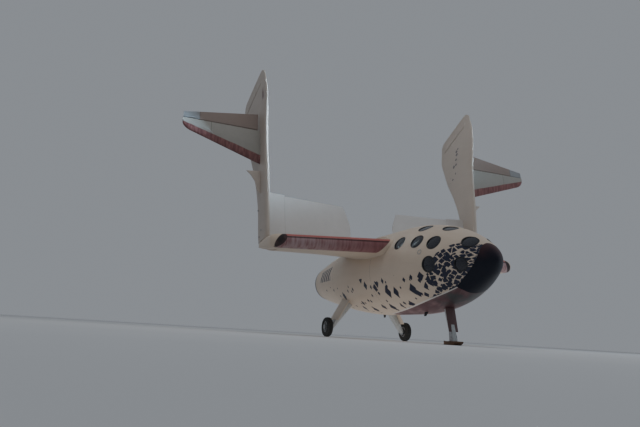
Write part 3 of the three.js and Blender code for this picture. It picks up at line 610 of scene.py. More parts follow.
def acrossShip(outline, low, high):  # an outline of (station, height) carried from one y to another
    return skin([[shipPoint(station, y, height) for station, height in outline] for y in (low, high)])


def alongShip(outline, low, high):  # an outline of (y, height) carried from one station to another
    return skin([[shipPoint(station, y, height) for y, height in outline] for station in (low, high)])


def slab(outline, halfWidth, bevel, segments=3, middle=0.0):  # (station, height) about one y, with soft edges
    return rounded(acrossShip(outline, middle - halfWidth, middle + halfWidth), bevel, segments)


def noseArc(radius, middle, first, last, step):  # a round front, as (distance aft, height)
    turns = [radians(a) for a in range(first, last + 1, step)]
    return [(middle - radius * cos(a), radius * sin(a)) for a in turns]


def finishPiece(name, bm, finish, replaced=(), body="airframe", sharp=35):
    bmesh.ops.remove_doubles(bm, verts=bm.verts, dist=1e-5)
    bmesh.ops.recalc_face_normals(bm, faces=bm.faces)
    for edge in bm.edges:
        edge.smooth = len(edge.link_faces) == 2 and edge.calc_face_angle(0) < radians(sharp)
    for face in bm.faces:
        face.smooth = True
    piece = inScene(name, meshOf(name, bm))
    piece.data.materials.append(finish.material)
    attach(piece, body)
    if replaced:
        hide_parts(*replaced)
    return piece


def pair(name, bm, finish, replaced=(), body="airframe", sharp=35):  # to port, and mirrored to starboard
    for label, side in bothSides:
        copy = bm.copy()
        if side < 0:
            bmesh.ops.scale(copy, vec=(1, -1, 1), verts=copy.verts)
            bmesh.ops.reverse_faces(copy, faces=copy.faces)
        nodes = [node.format(side=label) for node in replaced]
        finishPiece(f"{name}_{label}", copy, finish, nodes, body.format(side=label), sharp)
    bm.free()


# Hull: nose cap, cabin with cut windows, tank, tail cone
capEdge = [(0.9, 0.37), (0.28, 0.37), (0.19, 0.334), (0.09, 0.315), (0, 0.332), (-0.06, 0.366),
    (-0.16, 0.448), (-0.29, 0.612), (-0.385, 0.762), (-0.43, 0.735), (-0.9, 0.735)]  # height and station
windows = [  # station, degrees above the horizontal, radius
    (1.062, 31, 0.12),
    (1.425, 31, 0.12),
    (1.88, 30, 0.12),
    (1.067, -5, 0.12),
    (0.545, -12, 0.102),
    (0.52, 53, 0.125),
    (1.56, 61, 0.12),
    (1.075, 72, 0.12),
]
hatch = {"station": 2.26, "degrees": -14, "radius": 0.32, "gap": 0.003, "rim": (1.85, 2.7)}
carrierPad = {"station": 3.3, "length": 0.24, "width": 0.12, "height": 0.79, "bolts": (0.095, 0.04)}
smallPorts = ((1.266, 14, 0.042), (1.62, -35, 0.014), (0.78, 8, 0.012), (2.55, 40, 0.03))  # as windows
antennas = ((1.784, -99), (3.83, -77))  # station, degrees
alongHull = aim(shipPoint(0, 0, 0), (-1, 0, 0))
hullFinish = hullPaint()
rimRubber = plainFinish("rimRubber", "panel_black", (0.012, 0.012, 0.013), (0.025, 0.025, 0.026), 0.5)


def surfaceSpot(station, degrees, side=1):  # a point on the hull and the way out of it
    _, y, height = hullSpot(station, degrees)
    angle = radians(degrees)
    slope = (hullRadius(station + 0.005) - hullRadius(station - 0.005)) / 0.01
    return shipPoint(station, side * y, height), Vector((slope, side * cos(angle), sin(angle))).normalized()


def windowSpots():
    return [(surfaceSpot(*place, side), radius) for *place, radius in windows for _, side in bothSides]


def wallBetween(first, last, count=24):
    outer = [(hullRadius(s), s) for s in evenly(first, last, count)]
    inner = [(hullRadius(s) - hull["wall"], s) for s in evenly(last, first, count // 2)]
    return lathe(outer + inner, alongHull, hull["steps"])


def solidBetween(first, last, count=30, grow=cutGap):
    rim = [(hullRadius(s) + grow, s) for s in evenly(first, last, count)]
    return lathe([(0, first), *rim, (0, last)], alongHull, hull["steps"], closed=False)


def plug(spot, radius, outer, inner, steps=40):
    point, out = spot
    return rod(point + out * inner, point + out * outer, radius, steps)


def aheadOfCap(shift):
    outline = [(station + shift, height) for height, station in capEdge]
    return acrossShip([(-0.2, 0.9), *outline, (-0.2, -0.9)], -0.9, 0.9)


def buildCabinShell():
    # The nose closes in a rounded tip: the share of the way falls off as a square
    tipStations = [mix(hull["noseTip"], 0.85, (i / 40) ** 2) for i in range(41)]
    outer = [(hullRadius(s), s) for s in tipStations]
    inner = [(max(hullRadius(s) - hull["wall"], 0), s) for s in reversed(tipStations[10:])]
    tip = lathe(outer + inner + [(0, tipStations[10] - 0.005)], alongHull, hull["steps"], closed=False)
    finishPiece("noseCapSkin", carved(tip, aheadOfCap(0), "INTERSECT"), nosePaint(), ["nose_cap"])
    cabin = carved(wallBetween(0.29, hull["cabinEnd"], 44), aheadOfCap(0.002))
    cabin = carved(cabin, joined([plug(spot, radius, 0.09, -0.12) for spot, radius in windowSpots()]))
    hatchSpot = surfaceSpot(hatch["station"], hatch["degrees"])
    cabin = carved(cabin, plug(hatchSpot, hatch["radius"], 0.1, -0.2, 64))
    finishPiece("cabinSkin", cabin, hullFinish, ["cabin_shell"])
    disc = plug(hatchSpot, hatch["radius"] - hatch["gap"], 0.1, -0.2, 64)
    door = carved(wallBetween(*hatch["rim"], 20), disc, "INTERSECT")
    finishPiece("hatchSkin", door, hullFinish, ["crew_hatch"])


def buildWindows():
    panes, rims = [], []
    for spot, radius in windowSpots():
        edge, lip = radius - 0.001, radius - 0.006
        dome = [(edge * sin(a), -0.019 + 0.014 * cos(a)) for a in (1.5708, 1.2, 0.9, 0.6, 0.3, 0)]
        inside = [(r, along - 0.01) for r, along in reversed(dome)]
        panes.append(lathe(dome + inside, aim(*spot), 40))
        rims.append(lathe([(lip, -0.013), (edge, -0.01), (edge, -0.04), (lip, -0.04)], aim(*spot), 40))
    nodes = [f"window_pane_{label}_{row}" for row in range(1, 9) for label, _ in bothSides]
    finishPiece("windowPanes", joined(panes), glassFinish(), nodes)
    finishPiece("windowRims", joined(rims), rimRubber)


def buildTankAndTail():
    tank = solidBetween(hull["cabinEnd"] + skinGap, hull["tankEnd"], 30, 0)
    tank = carved(tank, crossRod(hingeSpot, -0.9, 0.9, hull["boreRadius"], 24))
    finishPiece("tankSkin", tank, hullFinish, ["tank_section"])
    cone = wallBetween(hull["tankEnd"] + skinGap, hull["end"], 30)
    finishPiece("tailConeSkin", cone, hullFinish, ["tail_cone"])
    end, radius, band = hull["end"], hull["tailRadius"], hull["end"] - 0.08
    lip = [(hullRadius(band) + 0.0016, band), (radius + 0.002, end - 0.006), (radius - 0.004, end - 0.0005),
        (radius - 0.03, end - 0.0005), (radius - 0.034, end - 0.006), (radius - 0.034, end - 0.03),
        (hullRadius(band) - 0.002, band)]
    finishPiece("tailRim", lathe(lip, alongHull, 96), rimRubber)


def buildHullFittings():
    metal = plainFinish("fittingMetal", "gear_metal", (0.42, 0.42, 0.42), (0.28, 0.28, 0.29), 0.35, 0.9, 30)
    pad = carrierPad
    low = shipPoint(pad["station"] + pad["length"] / 2, -pad["width"] / 2, 0.7)
    high = shipPoint(pad["station"] - pad["length"] / 2, pad["width"] / 2, pad["height"])
    parts = [rounded(box(low, high), 0.006, 3)]
    along, across = pad["bolts"]
    for aft, y in ((-along, -across), (-along, across), (along, -across), (along, across)):
        foot = shipPoint(pad["station"] + aft, y, pad["height"] - 0.006)
        parts.append(rod(foot, foot + Vector((0, 0, 0.0055)), 0.009, 6))
    finishPiece("carrierPad", joined(parts), metal)
    ports = []
    for _, side in bothSides:
        for *place, radius in smallPorts:
            rim = [(radius, -0.004), (radius, 0.0006), (radius - 0.003, 0.0015), (radius * 0.74, 0.001),
                (radius * 0.7, -0.003), (0, -0.003), (0, -0.004)]
            ports.append(lathe(rim, aim(*surfaceSpot(*place, side)), 32, closed=False))
    finishPiece("smallPorts", joined(ports), metal)
    blades = []
    for station, degrees in antennas:
        foot, end = hullRadius(station) - 0.012, hullRadius(station) + 0.075
        outline = [(station, foot), (station + 0.12, foot), (station + 0.12, end), (station + 0.06, end)]
        blade = slab(outline, 0.005, 0.003, 2)
        blades.append(turnAbout(blade, shipPoint(0, 0, 0), radians(degrees - 90), "X"))
    finishPiece("antennas", joined(blades), rimRubber)


# Wing: box, leading edge and tip
wing = {
    "midHeight": 0.362,
    "rootY": 0.4,
    "tipY": 2.38,
    "rootLeading": 2.035,
    "tipLeading": 2.882,
    "noseRadius": 0.12,
    "edgeDepth": 0.175,
    "rear": 4.154,
    "above": [(0, 0.124), (0.25, 0.15), (0.5, 0.156), (0.75, 0.142), (1, 0.112)],
    "below": [(0, 0.124), (0.25, 0.138), (0.5, 0.112), (0.75, 0.062), (1, 0.004)],
    "flareAbove": (0.55, 0.09),  # where the fillet meets the hull, and its radius
    "flareBelow": (0.7, 0.12),
    "tipOverlap": 0.12,
    "roundEnd": 0.168,  # how far the leading edge runs past the wing box
    "tipFairing": [  # distance behind the tip's front, outer y, bottom and top from midHeight
        (-0.06, 2.5, -0.112, 0.108),
        (0.12, 2.525, -0.128, 0.136),
        (0.45, 2.515, -0.11, 0.15),
        (0.8, 2.49, -0.062, 0.138),
        (1.097, 2.462, -0.018, 0.112),
    ],
}
lugs = {"places": (0.9, 1.56, 2.18), "width": 0.016, "radius": 0.0324, "foot": 0.056, "pin": (0.026, 0.014)}


def wingLeading(y):
    return mix(wing["rootLeading"], wing["tipLeading"], (y - wing["rootY"]) / (wing["tipY"] - wing["rootY"]))


def wingPoint(y, depth, rise):
    return shipPoint(wingLeading(y) + depth, y, wing["midHeight"] + rise)


def rootFlare(y, wall, radius):  # how far the fillet at the wing's root stands out from the wing
    away = min(max((y - wall) / radius, 0), 1)
    return radius * (1 - sqrt(1 - (1 - away) ** 2))


def flareRings(wall, radius, count):  # where the fillet needs its sections
    return {round(wall + radius * (1 - cos(i / count * pi / 2)), 4) for i in range(count + 1)}


def wingBoxSection(y):
    front, rear = wing["edgeDepth"] + cutGap, wing["rear"] - wingLeading(y)
    upper, lower = [], []
    for t in evenly(0, 1, 14):
        fade = 1 - smoothStep(0.3, 1, t)
        above, below = [fade * rootFlare(y, *wing[flare]) for flare in ("flareAbove", "flareBelow")]
        rise = smoothTable(wing["above"], t) + smoothStep(0, 0.22, t) * above
        drop = smoothTable(wing["below"], t) + below
        upper.append(wingPoint(y, mix(front, rear, t), rise))
        lower.append(wingPoint(y, mix(front, rear, t), -drop))
    return upper + lower[::-1]


def wingEdgeSection(y, size=1):
    r, depth = wing["noseRadius"], wing["edgeDepth"]
    flare = rootFlare(y, *wing["flareBelow"])
    points = []
    for d, rise in [(depth, -r - 0.004), *noseArc(r, r, -90, 90, 9), (depth, r + 0.004)]:
        drop = flare * smoothStep(0, depth, d) if rise < 0 else 0
        points.append(wingPoint(y, mix(depth, d, size), rise * size - drop))
    return points


def superSection(halfWidth, halfHeight, count, power):  # between an ellipse and a rectangle
    turns = [tau * (i + 0.5) / count for i in range(count)]
    corners = [[copysign(abs(part) ** power, part) for part in (cos(a), sin(a))] for a in turns]
    return [(halfWidth * across, halfHeight * up) for across, up in corners]


def tipSection(behind, front):
    columns = zip(*wing["tipFairing"])
    behinds = next(columns)
    outer, bottom, top = [smoothTable(list(zip(behinds, column)), behind) for column in columns]
    inner = wing["tipY"] - wing["tipOverlap"]
    centre = shipPoint(front + behind, (inner + outer) / 2, wing["midHeight"] + (bottom + top) / 2)
    outline = superSection((outer - inner) / 2, (top - bottom) / 2, 32, 0.75)
    return [centre + Vector((0, across, up)) for across, up in outline]


def buildWing():
    cream = creamPaint()
    steel = plainFinish("pinSteel", "gear_metal", (0.34, 0.34, 0.35), (0.2, 0.2, 0.21), 0.35, 1.0)
    places = sorted(flareRings(*wing["flareBelow"], 8) | flareRings(*wing["flareAbove"], 6))
    wingBox = skin([wingBoxSection(y) for y in (wing["rootY"], *places, 1.4, wing["tipY"])])
    wingBox = carved(wingBox, solidBetween(1.6, 5.2, 40))
    parts = []
    for y in lugs["places"]:
        half, (reach, pinRadius) = lugs["width"] / 2, lugs["pin"]
        low, high = Vector((0, y - half, -lugs["radius"])), Vector((lugs["foot"], y + half, lugs["radius"]))
        parts.append(box(hingeSpot + low, hingeSpot + high))
        parts.append(crossRod(hingeSpot, y - half, y + half, lugs["radius"], 32))
        parts.append(crossRod(hingeSpot, y - half - reach, y + half + reach, pinRadius))
    pair("hingeLugs", joined(parts), steel)
    pair("wingSkin", wingBox, cream, ["wing_{side}"], sharp=40)

    edge = [wingEdgeSection(y) for y in (wing["rootY"], *places, wing["tipY"])]
    for turn in [radians(i * 9.4) for i in range(1, 10)]:
        edge.append(wingEdgeSection(wing["tipY"] + wing["roundEnd"] * sin(turn), cos(turn) ** 0.45))
    edge = carved(skin(edge), solidBetween(1.6, 3.6))
    pair("leadingEdge", edge, edgeCoat(), ["wing_leading_edge_{side}"], sharp=40)

    front = wingLeading(wing["tipY"]) + wing["edgeDepth"]
    first, last = wing["tipFairing"][0][0], wing["tipFairing"][-1][0]
    tip = skin([tipSection(behind, front) for behind in evenly(first, last, 16)])
    tip = sliced(tip, shipPoint(0, wing["tipY"] + skinGap, 0), (0, -1, 0))
    ahead = Vector((wing["tipY"] - wing["rootY"], wing["tipLeading"] - wing["rootLeading"], 0))
    tip = sliced(tip, shipPoint(front + 0.0005, wing["tipY"], 0), ahead)
    pair("wingTip", tip, cream, ["wing_tip_{side}"], sharp=40)


# Moving tail: cross tube, wing panels, booms with fins and rudders, tailplanes and elevons
flap = {
    "innerY": 0.4,
    "outerY": 1.93,
    "rootChord": 1.053,
    "tipChord": 1.104,
    "nose": 0.045,
    "bottom": -0.071,
    "edgeHeight": -0.06,
    "top": [(0.15, 0.043), (0.3, 0.033), (0.45, 0.014), (0.6, -0.008), (0.8, -0.034)],  # chord share, height
    "innerEdge": [(-0.06, 0.44), (0, 0.44), (0.504, 0.465), (0.859, 0.567), (1.045, 0.632), (1.2, 0.69)],
    "clearance": 0.008,
    "clearedAt": (0, 35, 80),  # degrees of turn
}
boom = {
    "y": 2.376,
    "splay": 0.054,
    "cant": 0.06,
    "front": 0.052,
    "back": 3.88,
    "cheek": 0.058,
    "tube": (0.7, 0.032),  # half length and radius
    "halfWidth": [(0, 0.059), (2, 0.059), (3.2, 0.042), (3.75, 0.02), (3.9, 0.01)],
    "dorsal": [(0.052, 0.28), (0.2, 0.33), (1.2, 0.384), (2.2, 0.381), (3.2, 0.48), (3.75, 0.365),
        (3.9, 0.34)],
    "ventral": [(0.052, -0.15), (0.2, -0.17), (0.8, -0.155), (1.4, -0.287), (1.9, -0.494), (2.3, -0.716),
        (2.7, -0.872), (3, -0.982), (3.3, -0.962), (3.9, -0.93)],
    "outline": [(-0.2, 0.7), (3.3, 0.7), (3.5, 0.6), (3.7, 0.4), (3.8, 0.29), (3.829, 0.203), (3.55, -0.827),
        (3.44, -0.96), (3.2, -1.2), (-0.2, -1.2)],
    "strake": [(1.01, 2.45), (1.055, 2.53), (1.105, 2.562), (1.28, 2.61), (1.4, 2.69), (1.49, 2.79),
        (1.52, 2.45)],  # aft and y
    "fittings": ((0.16, -0.03), (0.27, 0.09), (0.72, -0.06)),  # aft and height
}
rudder = {"chord": 0.29, "nose": 0.026, "gap": 0.006, "pin": 0.01, "heights": (0.19, -0.2, -0.78)}
tail = {
    "rootY": 2.58,
    "tipY": 4.115,
    "height": 0.092,
    "rootLeading": 1.688,
    "tipLeading": 2.22,
    "rootTrailing": 2.81,
    "tipTrailing": 2.566,
    "rootHalf": 0.052,  # half the thickness
    "tipHalf": 0.024,
    "hingeAft": 2.452,
    "seamY": 3.55,
    "tabY": 3.788,
    "roundEnd": (0.16, 0.105),  # its span, and how far the leading edge falls back over it
}


def boomY(aft, height):
    return boom["y"] + boom["splay"] * aft - boom["cant"] * height


def flapSection(chord):  # (distance aft, height)
    nose, bottom, edge = flap["nose"], flap["bottom"], flap["edgeHeight"]
    below = [(1, edge - 0.007), (0.8, bottom + 0.002), (0.45, bottom), (0.1, bottom)]
    scaled = [(share * chord, height) for share, height in [*flap["top"], (1, edge + 0.007), *below]]
    return [*noseArc(nose, 0, 0, 90, 10), *scaled, (-nose, bottom)]


def acrossTail(outline, low=1.9, high=2.9):  # an outline of (aft, height) carried from one y to another
    return skin([[featherPoint(aft, y, height) for aft, height in outline] for y in (low, high)])


def levelTail(outline, low, high):  # an outline of (aft, y) carried from one height to another
    return skin([[featherPoint(aft, y, height) for aft, y in outline] for height in (low, high)])


def finWhole():
    sections = []
    for aft in evenly(boom["front"], boom["back"], 60):
        top, bottom = smoothTable(boom["dorsal"], aft), smoothTable(boom["ventral"], aft)
        outline = superSection(smoothTable(boom["halfWidth"], aft), (top - bottom) / 2, 40, 0.62)
        points = [(across, (top + bottom) / 2 + up) for across, up in outline]
        sections.append([featherPoint(aft, boomY(aft, height) + across, height) for across, height in points])
    return carved(skin(sections), acrossTail(boom["outline"]), "INTERSECT")


def rudderHinge(height):
    (tipAft, tipHeight), (cornerAft, cornerHeight) = boom["outline"][5:7]
    return mix(cornerAft, tipAft, (height - cornerHeight) / (tipHeight - cornerHeight)) - rudder["chord"]


def rudderRod(low, high, radius, steps):  # along the rudders' hinge
    spots = [featherPoint(rudderHinge(rise), boomY(rudderHinge(rise), rise), rise) for rise in (low, high)]
    return rod(*spots, radius, steps)


def aftOfRudder(shift, low, high):
    below, above = [(rudderHinge(height) + shift, height) for height in (low, high)]
    return acrossTail([above, (4.2, high), (4.2, low), below])


def roomForLug(bm, place):  # cuts the slot that a lug needs as the tail turns
    half, room, ahead = lugs["width"] / 2 + 0.006, lugs["radius"] + 0.006, flap["nose"] + 0.02
    slot = box((-ahead, place - half, -room), (room, place + half, ahead))
    for vert in slot.verts:
        vert.co = featherPoint(*vert.co)
    bmesh.ops.recalc_face_normals(slot, faces=slot.faces)
    return carved(bm, slot)


def buildBooms():
    cream = finPaint()
    steel = plainFinish("tubeSteel", "gear_metal", (0.3, 0.3, 0.31), (0.18, 0.18, 0.19), 0.4, 1.0)
    reach, radius = boom["tube"]
    cross = crossRod(hingeSpot, -reach, reach, radius, 48)
    finishPiece("crossTube", cross, steel, ["feather_cross_tube"], "feather")

    # painted shade: the rudders get the fins' darker copy of the cream
    plain, fixedFin = creamPaint("fin", "control_skin"), finWhole()
    top, middle, bottom = rudder["heights"]
    for name, low, high in (("upper", middle + 0.014, top), ("lower", bottom, middle - 0.014)):
        blade = carved(finWhole(), aftOfRudder(0, low, high), "INTERSECT")
        spine = rudderRod(low, high, rudder["nose"], 32)
        bodyName = "rudder_" + name + "_{side}"
        pair("rudderBlade_" + name, joined([blade, spine]), plain, [bodyName], bodyName)
        room = aftOfRudder(-rudder["nose"] - rudder["gap"], low - 0.006, high + 0.006)
        fixedFin = carved(fixedFin, room)
    pinEnds = ((bottom - 0.04, bottom), (middle - 0.02, middle + 0.02), (top, top + 0.04))
    pins = [rudderRod(*ends, rudder["pin"], 20) for ends in pinEnds]
    pair("rudderPins", joined(pins), steel, body="feather")

    inner = [(aft, flap["outerY"] + 0.004, height) for aft, height in flapSection(flap["tipChord"] + 0.026)]
    outer = [(aft, boomY(aft, height), height) for aft, height in flapSection(flap["tipChord"] + 0.056)]
    stub = skin([[featherPoint(*point) for point in section] for section in (inner, outer)])
    # painted shade: the stub panels get the flaps' grey copy of the cream
    pair("stubPanel", roomForLug(stub, lugs["places"][2]), creamPaint("flap"), body="feather")
    pair("boomSkin", fixedFin, cream, ["boom_{side}"], "feather")
    strake = levelTail(boom["strake"], tail["height"] - 0.012, tail["height"] + 0.012)
    pair("strake", rounded(strake, 0.009, 3), cream, body="feather")
    front, nose = boom["front"] + 0.005, flap["nose"]
    curve = noseArc(nose, 0, 0, 90, 10)
    outline = [(front, nose), *reversed(curve), (-nose, flap["bottom"]), (front, flap["bottom"])]
    block = acrossTail(outline, boom["y"] - boom["cheek"], boom["y"] + boom["cheek"])
    pair("boomRoot", block, cream, body="feather")
    fittings = []
    for aft, height in boom["fittings"]:
        spot = featherPoint(aft, boomY(aft, height) + smoothTable(boom["halfWidth"], aft) - 0.004, height)
        fittings.append(crossRod(spot, 0, 0.01, 0.016, 12))
    pair("boomFittings", joined(fittings), steel, body="feather")


def buildFlaps():
    spans = ((flap["innerY"], flap["rootChord"]), (flap["outerY"], flap["tipChord"]))
    panel = skin([[featherPoint(aft, y, height) for aft, height in flapSection(chord)] for y, chord in spans])
    panel = carved(panel, levelTail(flap["innerEdge"] + [(1.2, 2.2), (-0.06, 2.2)], -0.2, 0.2), "INTERSECT")
    for degrees in flap["clearedAt"]:
        keepOut = solidBetween(3.0, hull["end"], 30, flap["clearance"])
        panel = carved(panel, turnAbout(keepOut, hingeSpot, featherTurn - radians(degrees), "Y"))
    for place in lugs["places"][:2]:
        panel = roomForLug(panel, place)
    # painted shade: the aft wing panels get a grey copy of the cream
    pair("flapSkin", panel, creamPaint("flap"), ["aft_wing_panel_{side}"], "feather")


def tailMix(root, tip, y):
    return mix(root, tip, (y - tail["rootY"]) / (tail["tipY"] - tail["rootY"]))


def elevonHalf(y):
    return tailMix(0.034, 0.017, y)


def tailRise(share, y):  # from a round leading edge to the elevon's thickness
    half = tailMix(tail["rootHalf"], tail["tipHalf"], y)
    if share < 0.4:
        return min(sqrt(share) * (1.5 - share) * 1.31, 1) * half
    return mix(half, elevonHalf(y), ((share - 0.4) / 0.6) ** 2)


def tailSection(y, setback):
    leading = tailMix(tail["rootLeading"], tail["tipLeading"], y) + setback
    last = tail["hingeAft"] - elevonHalf(y) - 0.006
    shares = [(1 - cos(pi * i / 22)) / 2 for i in range(16)]
    outline = [(mix(leading, last, share / shares[-1]), tailRise(share / shares[-1], y)) for share in shares]
    outline += [(aft, -rise) for aft, rise in reversed(outline[1:])]
    return [featherPoint(aft, y, tail["height"] + rise) for aft, rise in outline]


def elevonSection(y):
    trailing = tailMix(tail["rootTrailing"], tail["tipTrailing"], y)
    outline = noseArc(elevonHalf(y), tail["hingeAft"], -90, 90, 15) + [(trailing, 0.004), (trailing, -0.004)]
    return [featherPoint(aft, y, tail["height"] + rise) for aft, rise in outline]


def buildTailplanes():
    span, setback = tail["roundEnd"]
    last = tail["tipY"] - span
    rings = [(tail["rootY"] - 0.09, 0), (last, 0)]
    for turn in [radians(i * 10) for i in range(1, 10)]:
        rings.append((last + span * sin(turn), setback * (1 - cos(turn))))
    plane = skin([tailSection(*ring) for ring in rings])
    pair("tailplaneSkin", plane, tailPaint(), ["tailplane_{side}"], "feather", 50)
    elevon = skin([elevonSection(y) for y in (tail["rootY"] + 0.015, 2.9, 3.3, 3.7, tail["tipY"] - 0.008)])
    pair("elevonSkin", elevon, controlPaint(), ["elevon_{side}"], "elevon_{side}", 50)


# Rocket motor
motor = {
    "profile": [(4.7506, 0), (4.7506, 0.24), (5.5, 0.24), (5.56, 0.21), (5.64, 0.15), (5.76, 0.12),
        (5.85, 0.15), (5.95, 0.19), (6.06, 0.235), (6.18, 0.272), (6.3, 0.295), (6.44, 0.31), (6.44, 0.292),
        (6.3, 0.277), (6.18, 0.254), (6.06, 0.217), (5.95, 0.17), (5.85, 0.125), (5.77, 0.09), (5.7, 0.08),
        (5.69, 0)],
    "bands": ((5.0, 0.24), (5.42, 0.24), (5.95, 0.19), (6.18, 0.272), (6.4, 0.306)),  # both (station, radius)
    "baffle": 5.3,
}


def buildMotor():
    metal = plainFinish("motorMetal", "motor_metal", (0.12, 0.115, 0.11), (0.06, 0.056, 0.052), 0.5, 0.8, 12)
    parts = [lathe([(radius, station) for station, radius in motor["profile"]], alongHull, 64, closed=False)]
    for station, radius in motor["bands"]:
        ring = [(-0.004, -0.014), (0.006, -0.01), (0.006, 0.01), (-0.001, 0.014)]
        parts.append(lathe([(radius + out, station + along) for out, along in ring], alongHull, 64))
    finishPiece("motorSkin", joined(parts), metal, ["rocket_motor"])
    face, bore = motor["baffle"], 0.247
    rim = hullRadius(face) - hull["wall"] - 0.0005
    baffle = [(bore, face), (rim - 0.004, face), (rim - 0.002, face - 0.01), (rim - 0.002, face - 0.028),
        (rim - 0.02, face - 0.03), (rim - 0.03, face - 0.015), (bore, face - 0.012)]
    grey = plainFinish("baffleGrey", "motor_metal", (0.1, 0.1, 0.105), (0.05, 0.05, 0.052), 0.6, 0.3, 14)
    finishPiece("motorBaffle", lathe(baffle, alongHull, 72), grey)


# Landing gear
wheel = {"radius": 0.19, "width": 0.13, "rim": 0.105, "y": 0.88, "station": 4.33, "bolts": 8,
    "boltCircle": 0.072, "grooves": (0.02, 0, -0.02), "groove": ((0, 0.004), (0.005, 0.003))}
gearLeg = {
    "outline": [(0.36, -0.56), (0.5, -0.48), (0.785, -0.99), (0.805, -1.02), (0.805, -1.085), (0.78, -1.085),
        (0.745, -1.04)],  # y and height
    "halfDepth": 0.07,
    "door": [(0.467, -0.428), (0.731, -0.902), (0.744, -0.895), (0.48, -0.421)],
    "doorReach": 0.21,
    "axleRadius": 0.018,
    "brakeRadius": 0.075,
    "brakeY": 0.8,
    "drag": ((4.58, 0.42, -0.52), (4.45, 0.585, -0.76), (4.38, 0.675, -0.885)),  # station, y, height
    "line": ((0.5, -0.56), (0.6, -0.74), (0.7, -0.92), (0.775, -1.03)),  # y and height
}
skid = {
    "strut": [(1.29, -1.185), (1.18, -1.185), (1.2, -1.125), (1.38, -0.54), (1.52, -0.54), (1.29, -1.095)],
    "strutHalf": 0.038,
    "shoe": [(1.395, -1.24), (1.135, -1.24), (1.065, -1.195), (1.08, -1.18), (1.155, -1.185),
        (1.395, -1.185)],
    "shoeHalf": 0.075,
    "fork": [(1.28, -1.183), (1.19, -1.183), (1.205, -1.11), (1.245, -1.03), (1.3, -1.03)],
    "door": [(1.372, -0.6), (1.236, -1.04), (1.229, -1.038), (1.355, -0.6)],
    "doorHalf": 0.085,
    "pin": (1.235, -1.12),  # station and height
    "bolts": ((1.16, -0.045), (1.16, 0.045), (1.42, -0.045), (1.42, 0.045)),  # station and y
}
wheelAlloy = plainFinish("wheelAlloy", "gear_metal", (0.5, 0.5, 0.5), (0.36, 0.36, 0.37), 0.35, 0.9)
legPaint = plainFinish("legPaint", "gear_metal", (0.5, 0.51, 0.5), (0.4, 0.41, 0.4), 0.42, 0.1, 22, 0.15)
rubber = plainFinish("tyreRubber", "tyre_rubber", (0.02, 0.02, 0.02), (0.045, 0.043, 0.04), 0.8, 0, 30, 0.4)
axle = wheel["radius"] - hull["axisHeight"]


def buildWheels():
    half, rim, full = wheel["width"] / 2, wheel["rim"], wheel["radius"]
    centre = aim(shipPoint(wheel["station"], wheel["y"], axle), (0, 1, 0))
    # Sidewalls, a rounded shoulder and three grooves: (radius, distance along the axle)
    wall = [(rim, half - 0.015), (rim + 0.012, half - 0.006), (rim + 0.03, half - 0.001),
        (full - 0.045, half), (full - 0.022, half - 0.006), (full - 0.008, half - 0.018),
        (full - 0.002, half - 0.032)]
    tread = []
    for place in wheel["grooves"]:
        tread += [(full - depth, place + along) for depth, along in wheel["groove"]]
        tread += [(full - depth, place - along) for depth, along in reversed(wheel["groove"])]
    tyre = lathe(wall + tread + [(radius, -along) for radius, along in reversed(wall)], centre, 72)
    pair("tyreRubber", tyre, rubber, ["tyre_{side}"], "wheel_{side}")
    outer = rim - 0.0005
    disc = [(0.0186, half + 0.004), (0.045, half + 0.004), (0.05, 0.026), (0.06, 0.02), (outer - 0.018, 0.02),
        (outer - 0.01, half - 0.018), (outer, half - 0.018)]
    inside = [(radius, 0.009 - along if along > half else -along) for radius, along in reversed(disc)]
    parts = [lathe(disc + inside, centre, 72)]
    for turn in [tau * i / wheel["bolts"] for i in range(wheel["bolts"])]:
        spot = centre @ (Vector((cos(turn), sin(turn), 0)) * wheel["boltCircle"])
        parts.append(crossRod(spot, -0.026, 0.026, 0.006, 6))
    pair("wheelHub", joined(parts), wheelAlloy, ["wheel_rim_{side}"], "wheel_{side}")


def buildLegs():
    station, depth, reach = wheel["station"], gearLeg["halfDepth"], gearLeg["doorReach"]
    body = solidBetween(3.4, 5.4)
    leg = rounded(alongShip(gearLeg["outline"], station - depth, station + depth), 0.014, 3)
    pair("gearLegSkin", carved(leg, body.copy()), legPaint, ["gear_leg_{side}"])
    door = rounded(alongShip(gearLeg["door"], station - reach, station + reach), 0.004)
    pair("gearDoor", carved(door, body), creamPaint("gearDoor"))
    y, radius = gearLeg["brakeY"], gearLeg["brakeRadius"]
    top, middle, foot = [shipPoint(*spot) for spot in gearLeg["drag"]]
    disc = [(0.03, 0), (radius, 0), (radius, 0.012), (0.03, 0.012)]
    shaft = crossRod(shipPoint(station, 0, axle), y - 0.01, wheel["y"] + 0.06, gearLeg["axleRadius"], 24)
    parts = [lathe(disc, aim(shipPoint(station, y, axle), (0, 1, 0)), 48), shaft, rod(top, middle, 0.017, 24)]
    pair("brakeAndAxle", joined(parts), wheelAlloy)
    low = shipPoint(station + 0.085, y - 0.012, axle - 0.03)
    high = shipPoint(station + 0.035, y + 0.018, axle + 0.03)
    pair("brakeCaliper", rounded(box(low, high), 0.006, 3), legPaint)
    chrome = ((0.7, 0.7, 0.71), (0.55, 0.55, 0.56), 0.18, 1.0, 60, 0.05)
    pair("dragPiston", rod(middle, foot, 0.011, 24), plainFinish("pistonChrome", "gear_metal", *chrome))
    line = [shipPoint(station + 0.077, *spot) for spot in gearLeg["line"]]
    pair("brakeLine", tube(line, 0.004), rubber)


